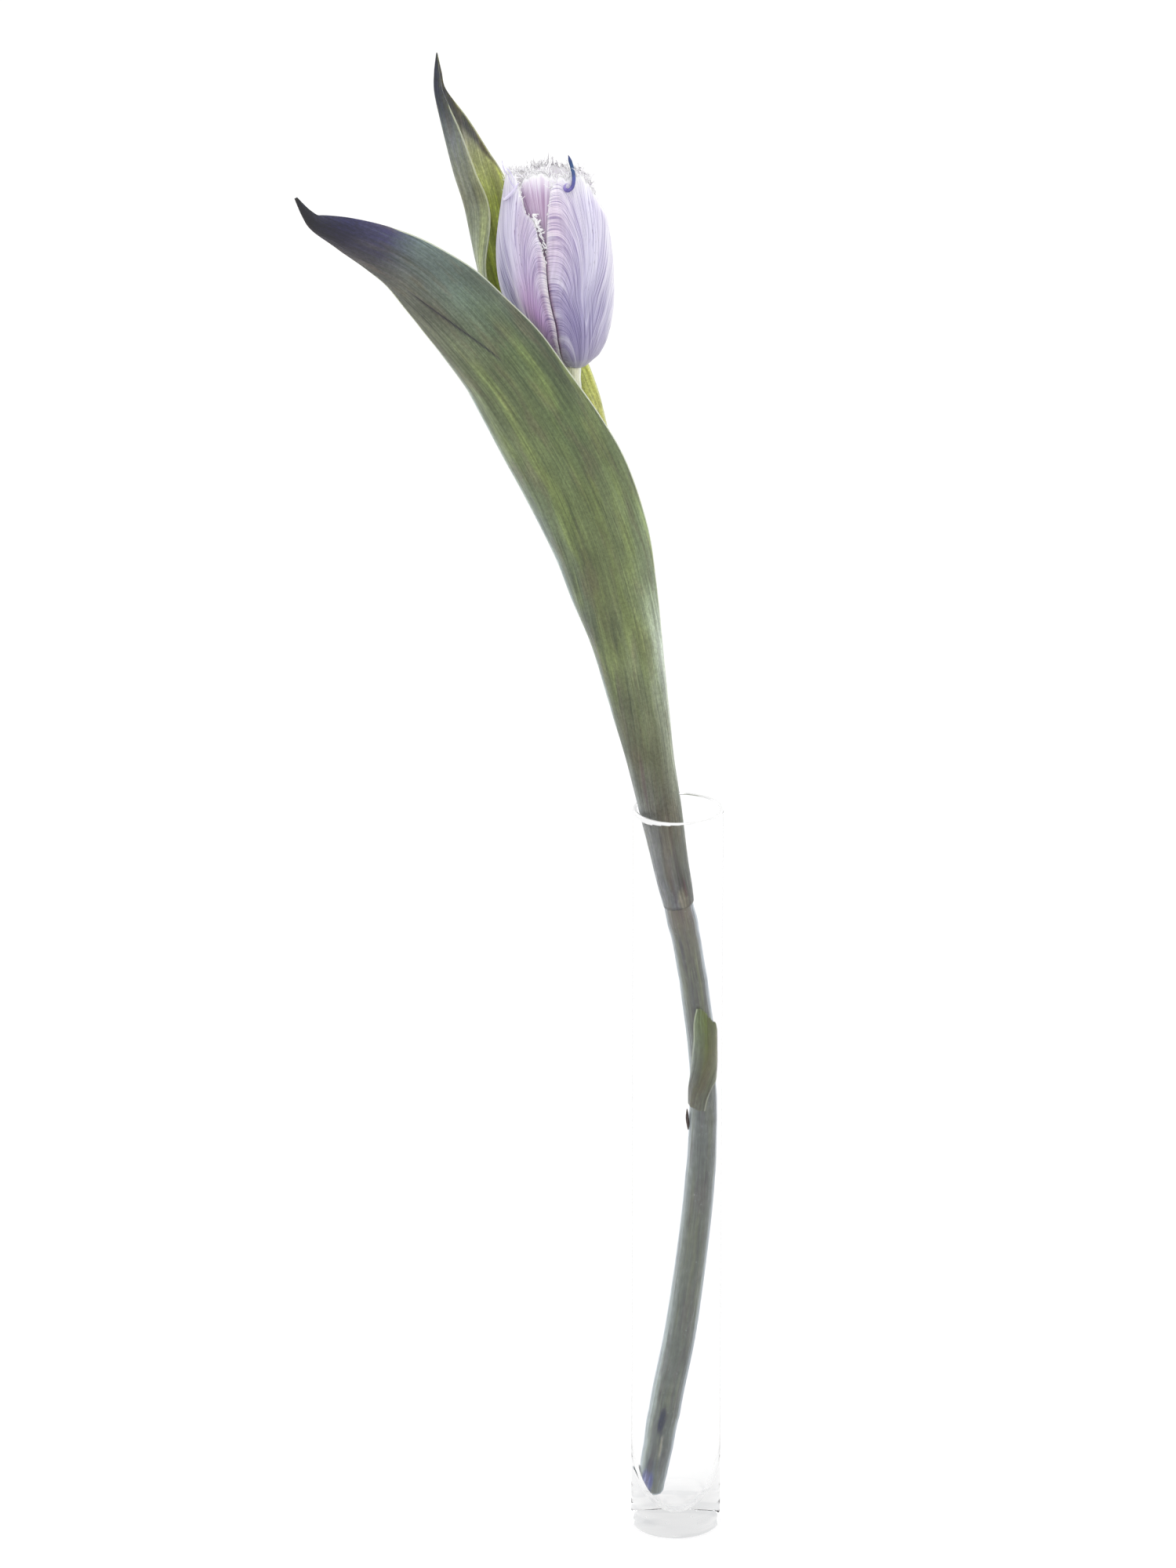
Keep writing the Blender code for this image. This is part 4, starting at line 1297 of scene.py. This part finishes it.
def make_petal(name, spec, seed, materials):
    """One cupped petal, with its fringe; columns run up to the height of its top."""
    inner = name.startswith("inner")
    rng = np.random.default_rng(seed)
    share_across = np.linspace(0, 1, PETAL_COLUMNS)
    share_up = np.linspace(0, 1, PETAL_ROWS) ** 0.85
    top_table = np.array(spec["top"], float)
    lift = 1.5 if inner else 1.2
    # the top of each column depends on its direction, which depends a little on the height
    degrees_top = top_table[0, 0] + (top_table[-1, 0] - top_table[0, 0]) * share_across
    notches = 0.45 * ripple(share_across * 34, 5, seed) + 0.5 * rng.uniform(-1, 1, PETAL_COLUMNS)
    notches *= window(0, 0.04, 0.96, 1, share_across)
    top = interpolate(top_table, degrees_top)[..., 0] + notches
    height = lift + (top - lift)[None] * share_up[:, None]
    start = interpolate(spec["start"], height)[..., 0]
    end = interpolate(spec["end"], height)[..., 0]
    midrib = interpolate(spec["midrib"], height)[..., 0]
    degrees = start + (end - start) * share_across[None]
    radius = petal_radius(height, degrees, inner)
    if name == "outer_petal_left":
        radius = radius + 0.35 * smoothstep(-110, -98, degrees) * smoothstep(4, 12, height)
    if name == "outer_petal_right":
        radius = radius - 0.35 * (1 - smoothstep(-98, -88, degrees)) * (1 - smoothstep(38, 50, height))
    arch = (degrees - midrib) * np.radians(1) * radius
    radius = radius + 0.18 * spot((arch, 0, 2.0)) * smoothstep(2, 10, height)
    waves = ripple(arch * 0.9 + 0.5 * np.sin(height / 13), 4, seed + 1)
    radius = radius + 0.09 * waves * smoothstep(4, 14, height)
    ruffle = smoothstep(50, 64, height) * (0.35 if inner else 0.15)
    radius = radius + ruffle * ripple(degrees / 3.2 + 0.1 * height, 4, seed + 2)
    grid = bloom_points(height, radius, degrees)

    # how far a point lies between the midrib and the margin on its own side
    offset = degrees - midrib
    left_span = np.maximum(midrib - start, 1)
    right_span = np.maximum(end - midrib, 1)
    reach = np.clip(np.where(offset < 0, -offset / left_span, offset / right_span), 0, 1)
    label = vein_label(name, height, degrees, reach)
    outside, inside = petal_colours(name, height, degrees, reach)
    edge = np.minimum(top[None] - height, 40)
    nearer = np.minimum(share_across, 1 - share_across)
    side_edge = nearer * np.abs(end - start) * np.radians(1) * radius
    high = smoothstep(36, 52, height)
    frost = 0.9 * (1 - smoothstep(0.2, 2.0, edge)) + 0.35 * (1 - smoothstep(1.0, 7.0, edge)) * high
    frost = np.maximum(frost, (0.25 + 0.45 * high) * (1 - smoothstep(0.1, 0.9, side_edge)))
    if name == "outer_petal_right":
        frost = frost * np.where(degrees < -80, 0.4 * smoothstep(38, 48, height), 1)
    if name == "outer_petal_left":
        frost = frost * (1 - 0.75 * smoothstep(-132, -124, degrees))
    bruise = spot((arch, 1.0, 1.8)) * window(24, 34, 58, 66, height)
    bruise = np.maximum(bruise, spot((edge, 1.6, 1.2)) * (name == "outer_petal_left"))
    if name == "inner_petal_front":
        reach = 0.58 + 0 * reach
        bruise = 0 * bruise
    grain = np.stack([label, reach, height], axis=-1)
    mark = np.stack([np.clip(frost, 0, 1), arch, 0.75 * bruise], axis=-1)
    thickness = PETAL_THICKNESS * (0.35 + 0.65 * smoothstep(0, 3, np.minimum(edge, side_edge)))
    thickness = thickness * (0.45 + 0.55 * smoothstep(1, 8, height))
    build = Build()
    # grain's third value is the height outside, and less than 0 inside
    add_sheet(build, grid, thickness, outside, inside, grain, mark)
    add_fringe(build, grid, height, rng, name)
    if name == "outer_petal_right":
        add_hook(build)
    if name == "outer_petal_left":
        add_rolled_margin(build)
        add_torn_folds(build, rng)
    piece = build.finish(f"{name}_sheet", materials)
    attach(piece, "root")
    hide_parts(name)


def add_hair(build, base, direction, facing, length, width, rng, barbs):
    """One tapered, bent shred, flattened towards facing, with smaller ones on it."""
    t = np.linspace(0, 1, 4)
    bend = rng.normal(0, 0.6, 3)
    path = base + np.outer(t * length, direction) + np.outer(t**2 * length * 0.5, bend)
    radii = width * np.array([1.0, 0.8, 0.5, 0.1])
    add_tube(build, path, radii, 4, srgb(*FRINGE_WHITE), slot=1)
    points = build.points[-1][: 4 * len(path)]
    points -= np.outer((points - np.repeat(path, 4, axis=0)) @ facing, FRINGE_FLATTENING * facing)
    for _ in range(barbs):
        place = path[1] + (path[3] - path[1]) * rng.uniform(0, 0.7)
        aside = direction + rng.normal(0, 0.7, 3)
        aside = aside / np.linalg.norm(aside)
        add_hair(build, place, aside, facing, length * rng.uniform(0.25, 0.5), width * 0.6, rng, 0)


def add_fringe(build, grid, height, rng, name):
    """Fine frosted hairs along the top and the upper part of both margins."""
    normals = grid_normals(grid)
    rows, columns = grid.shape[:2]
    rim = [(rows - 1, c, 0.0) for c in range(columns)]
    for row in range(0, rows, 2):
        if height[row, 0] > 40:
            rim.append((row, 0, -1.0))
        if height[row, -1] > 40:
            rim.append((row, columns - 1, 1.0))
    clump = ripple(np.arange(len(rim)) / 2.5, 5, len(name))
    for (row, column, sideways), size in zip(rim, clump):
        up = grid[row, column] - grid[max(row - 2, 0), column]
        up = up / np.linalg.norm(up)
        out = grid[row, min(column + 1, columns - 1)] - grid[row, max(column - 1, 0)]
        out = out / max(np.linalg.norm(out), 1e-6)
        along_rim = out if sideways == 0 else up
        away = up if sideways == 0 else out * sideways
        crown = float(smoothstep(54, 62, height[row, column]))
        hairs = 1 if sideways else 2 + round(crown)
        for _ in range(hairs):
            if rng.random() < FRINGE_BARE:
                continue
            base = grid[row, column] + along_rim * rng.uniform(-0.4, 0.4) - away * 0.25
            direction = away + along_rim * rng.normal(0, 0.6) + normals[row, column] * rng.normal(0, 0.4)
            direction = direction / np.linalg.norm(direction)
            length = (0.7 + 1.6 * crown) * rng.uniform(0.4, 1.3) * (1 + 0.7 * size)
            if sideways:
                length = length * 0.6
            width = rng.uniform(*FRINGE_WIDTHS)
            facing = normals[row, column]
            add_hair(build, base, direction, facing, max(length, 0.3), width, rng, 2 if crown > 0.5 else 1)


def add_torn_folds(build, rng):
    """White crinkled shreds where the left petal's margin runs into the seam."""
    for share in np.concatenate([np.linspace(0, 0.45, 6), np.linspace(0.45, 1, 26)]):
        height = 44 + 12 * share + rng.uniform(-0.5, 0.5)
        degrees = -96.5 - 14 * share**1.3 + rng.uniform(-1, 1)
        base = bloom_points(np.array(height), 18.0 - 1.0 * share, np.array(degrees))
        aim = math.radians(rng.uniform(-80, 80))
        direction = np.array([math.cos(aim), -0.3, math.sin(aim)])
        direction = direction / np.linalg.norm(direction)
        facing = np.array([0.1, -0.9, 0.42])
        add_hair(build, base, direction, facing, rng.uniform(0.9, 2.8), rng.uniform(0.16, 0.4), rng, 2)


def add_rolled_margin(build):
    """The left petal's rolled upper margin, and the curled threads above it."""
    t = np.linspace(0, 1, 30)
    values = interpolate(ROLLED_MARGIN, t)
    path = bloom_points(values[:, 0], values[:, 2] - BLOOM_FLAT_SIDE * 0.6, values[:, 1])
    radii = 0.5 * np.sin(np.pi * np.clip(t, 0.05, 0.95)) ** 0.5
    add_tube(build, path, radii, 10, srgb(222, 214, 240), slot=1)
    for height, drop, degrees, turn, sag in MARGIN_THREADS:
        path = bloom_points(height - drop * t - sag * np.sin(np.pi * t), 15.6 + 0 * t, degrees + turn * t)
        radii = 0.22 * np.sin(np.pi * np.clip(t, 0.08, 0.92)) ** 0.5
        add_tube(build, path, radii, 6, srgb(196, 188, 220), slot=1)


ROLLED_MARGIN = [
    # share along, height, direction, distance from the axis
    (0, 65.0, -130, 16.6),
    (0.2, 62.5, -135, 17.2),
    (0.5, 59.6, -146, 17.2),
    (0.8, 57.6, -160, 16.6),
    (1, 57.4, -174, 16.0),
]
# height at the left end, drop to the right end, direction, turn to the right end, sag
MARGIN_THREADS = [
    (69.6, 3.0, -170, 22, 0.8),
    (68.4, 2.8, -154, 16, -0.9),
    (66.6, 3.6, -150, 17, 0.9),
]
HOOK_PLACES = [
    # share along, height, direction, distance from the axis, from the blue tip to the curl's end
    (0.0, 74.6, -66.0, 14.5),
    (0.25, 70.5, -62.6, 15.4),
    (0.42, 67.3, -61.7, 16.0),
    (0.58, 64.5, -64.4, 16.4),
    (0.7, 63.5, -70.4, 16.6),
    (0.83, 64.5, -73.8, 16.5),
    (0.93, 65.7, -72.2, 16.4),
    (1.0, 65.6, -69.6, 16.3),
]
HOOK_COLOURS = [
    (0.0, (44, 52, 108)),
    (0.1, (46, 70, 128)),
    (0.25, (64, 104, 150)),
    (0.42, (84, 96, 164)),
    (0.6, (96, 90, 160)),
    (0.8, (132, 116, 190)),
    (1.0, (196, 186, 226)),
]


def add_hook(build):
    """The bluish horn at the right petal's tip, curled at its foot."""
    t = np.linspace(0, 1, 60)
    values = interpolate(HOOK_PLACES, t)
    path = bloom_points(values[:, 0], values[:, 2], values[:, 1])
    radii = 0.12 + 0.48 * smoothstep(0, 0.14, t) * (1 - smoothstep(0.75, 1, t))
    tint = palette(HOOK_COLOURS, np.repeat(t[:, None], 12, axis=1), 0)
    add_tube(build, path, radii, 12, tint, slot=2)


def make_bloom():
    outer = petal_material("outer petal", colour(152, 139, 180))
    inner = petal_material("inner petal", colour(204, 178, 202))
    fringe = fringe_material()
    horn = plain_material("petal tip", (205, 205, 215), (255, 255, 255), 0.35, 500)
    for seed, (name, spec) in enumerate(PETALS.items()):
        body = inner if name.startswith("inner") else outer
        make_petal(name, spec, 100 + seed, [body, fringe, horn])


PISTIL_PROFILE = [
    # radius, height above the receptacle, from the stigma down
    (0.0, 24.6), (0.8, 24.9), (1.6, 25.0), (2.6, 24.7), (3.2, 24.2), (3.6, 23.4), (3.5, 22.7), (2.8, 21.9),
    (2.45, 21.0), (2.3, 20.0), (2.7, 17.0), (3.0, 14.0), (3.15, 11.0), (3.1, 8.0), (2.8, 6.2), (2.3, 4.6),
    (1.6, 2.8), (1.25, 1.6), (1.2, 0.6), (0.0, 0.6),
]


def make_pistil():
    """The pistil: a three-sided ovary under a three-lobed stigma."""
    build = Build()
    add_turned(build, PISTIL_PROFILE, 48)
    points = build.points[0]
    angles = np.arctan2(points[:, 1], points[:, 0])
    lobes = 1 + 0.14 * np.cos(3 * angles) * (0.35 + 0.65 * smoothstep(20.5, 22.5, points[:, 2]))
    points[:, :2] *= lobes[:, None]
    stigma = smoothstep(20.8, 22.2, points[:, 2])
    build.tint = [blend(srgb(250, 255, 225), srgb(255, 250, 190), stigma)]
    points[:, :2] += interpolate(BLOOM_AXIS, points[:, 2])
    points[:, 2] += BLOOM_BASE_Z
    material = plain_material("pistil", (168, 182, 110), (206, 210, 150), 0.45, 500)
    piece = build.finish("pistil_turned", [material])
    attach(piece, "root")
    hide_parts("pistil")


def make_stamens():
    """Six stamens: a pale filament, and a long anther with two pollen lobes."""
    pale = plain_material("filament", (214, 208, 190), (232, 228, 214), 0.45, 600)
    pollen = plain_material("pollen", (150, 118, 56), (196, 164, 84), 0.7, 900)
    for index in range(6):
        degrees = 60 * index
        build = Build()
        t = np.linspace(0, 1, 12)
        spread = 2.3 + 3.9 * smoothstep(0, 1, t)
        path = bloom_points(0.8 + 9.4 * t, spread, np.full(12, float(degrees)))
        add_tube(build, path, 0.5 - 0.2 * t, 12)
        t = np.linspace(0, 1, 22)
        path = bloom_points(9.9 + 13.6 * t, np.full(22, 6.2), np.full(22, float(degrees)))
        angles = 2 * math.pi * np.arange(24) / 24
        outline = 1.15 * np.sin(math.pi * np.clip(t, 0.02, 0.99)) ** 0.35
        lobes = 1 - 0.28 * np.abs(np.cos(angles)) ** 3
        add_tube(build, path, outline[:, None] * lobes, 24, slot=1)
        piece = build.finish(f"stamen_{index + 1}_turned", [pale, pollen])
        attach(piece, "root")
        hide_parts(f"stamen_{index + 1}")


# ---------------------------------------------------------------- stage


def make_floor():
    mesh = bpy.data.meshes.new("floor")
    corners = [(x * FLOOR_HALF, y * FLOOR_HALF, FLOOR_Z) for x, y in ((-1, -1), (1, -1), (1, 1), (-1, 1))]
    mesh.from_pydata(corners, [], [(0, 1, 2, 3)])
    floor = link("floor", mesh)
    n = new_material("white floor")
    n.set(Base_Color=colour(236, 236, 236), Roughness=0.9, Specular_IOR_Level=0.0)
    white = n.add("ShaderNodeEmission", {"Color": (1, 1, 1, 1), "Strength": FLOOR_WHITE})
    n.cover(n.seen(FLOOR_WHITENED), white)
    mesh.materials.append(n.owner)


def make_world():
    """A pale room, brighter behind the object; to the eye and in glass it is plain white."""
    world = bpy.data.worlds.new("room")
    bpy.context.scene.world = world
    n = Nodes(world)
    place = n.add("ShaderNodeTexCoord").outputs["Generated"]
    depth = n.add("ShaderNodeSeparateXYZ", {"Vector": place}).outputs["Y"]
    low, high = ROOM_LEVELS
    inputs = {"Value": depth, "From Min": -1, "From Max": 1, "To Min": low, "To Max": high}
    level = n.add("ShaderNodeMapRange", inputs).outputs[0]
    strength = n.add("ShaderNodeMix", {0: n.seen(1.0), 2: level, 3: 1.0}, data_type="FLOAT").outputs[0]
    background = n.tree.nodes["Background"]
    n.feed(background.inputs["Strength"], strength)
    n.feed(background.inputs["Color"], (1, 1, 1, 1))


def make_lamp(name, place, size, power):
    light = bpy.data.lights.new(name, "AREA")
    light.shape = "DISK"
    light.size = size
    light.energy = power
    lamp = link(name, light)
    lamp.location = place
    x, y, z = np.subtract(LAMP_TARGET, place)
    lamp.rotation_euler = (math.atan2(math.hypot(x, y), -z), 0, math.atan2(y, x) - math.pi / 2)


def make_camera():
    _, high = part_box("vase")
    camera = link("camera", bpy.data.cameras.new("camera"))
    camera.data.lens = CAMERA_LENS
    camera.data.clip_end = 100
    camera.location = (CAMERA_X, -CAMERA_DISTANCE, high[2] + CAMERA_RISE * CAMERA_DISTANCE)
    camera.rotation_euler = (math.radians(90 - CAMERA_PITCH), 0, 0)
    bpy.context.scene.camera = camera


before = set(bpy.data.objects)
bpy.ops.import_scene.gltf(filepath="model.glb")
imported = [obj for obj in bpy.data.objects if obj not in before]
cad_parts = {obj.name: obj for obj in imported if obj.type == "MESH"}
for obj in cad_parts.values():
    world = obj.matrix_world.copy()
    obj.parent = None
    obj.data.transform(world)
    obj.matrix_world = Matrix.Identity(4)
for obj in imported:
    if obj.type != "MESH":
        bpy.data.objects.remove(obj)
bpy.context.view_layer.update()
bpy.context.scene.view_settings.view_transform = "Standard"

make_camera()
make_world()
make_floor()
for lamp in LAMPS:
    make_lamp(*lamp)

make_vase()
make_stem()
make_stub()
make_front_leaf()
make_back_leaf()
make_bloom()
make_pistil()
make_stamens()
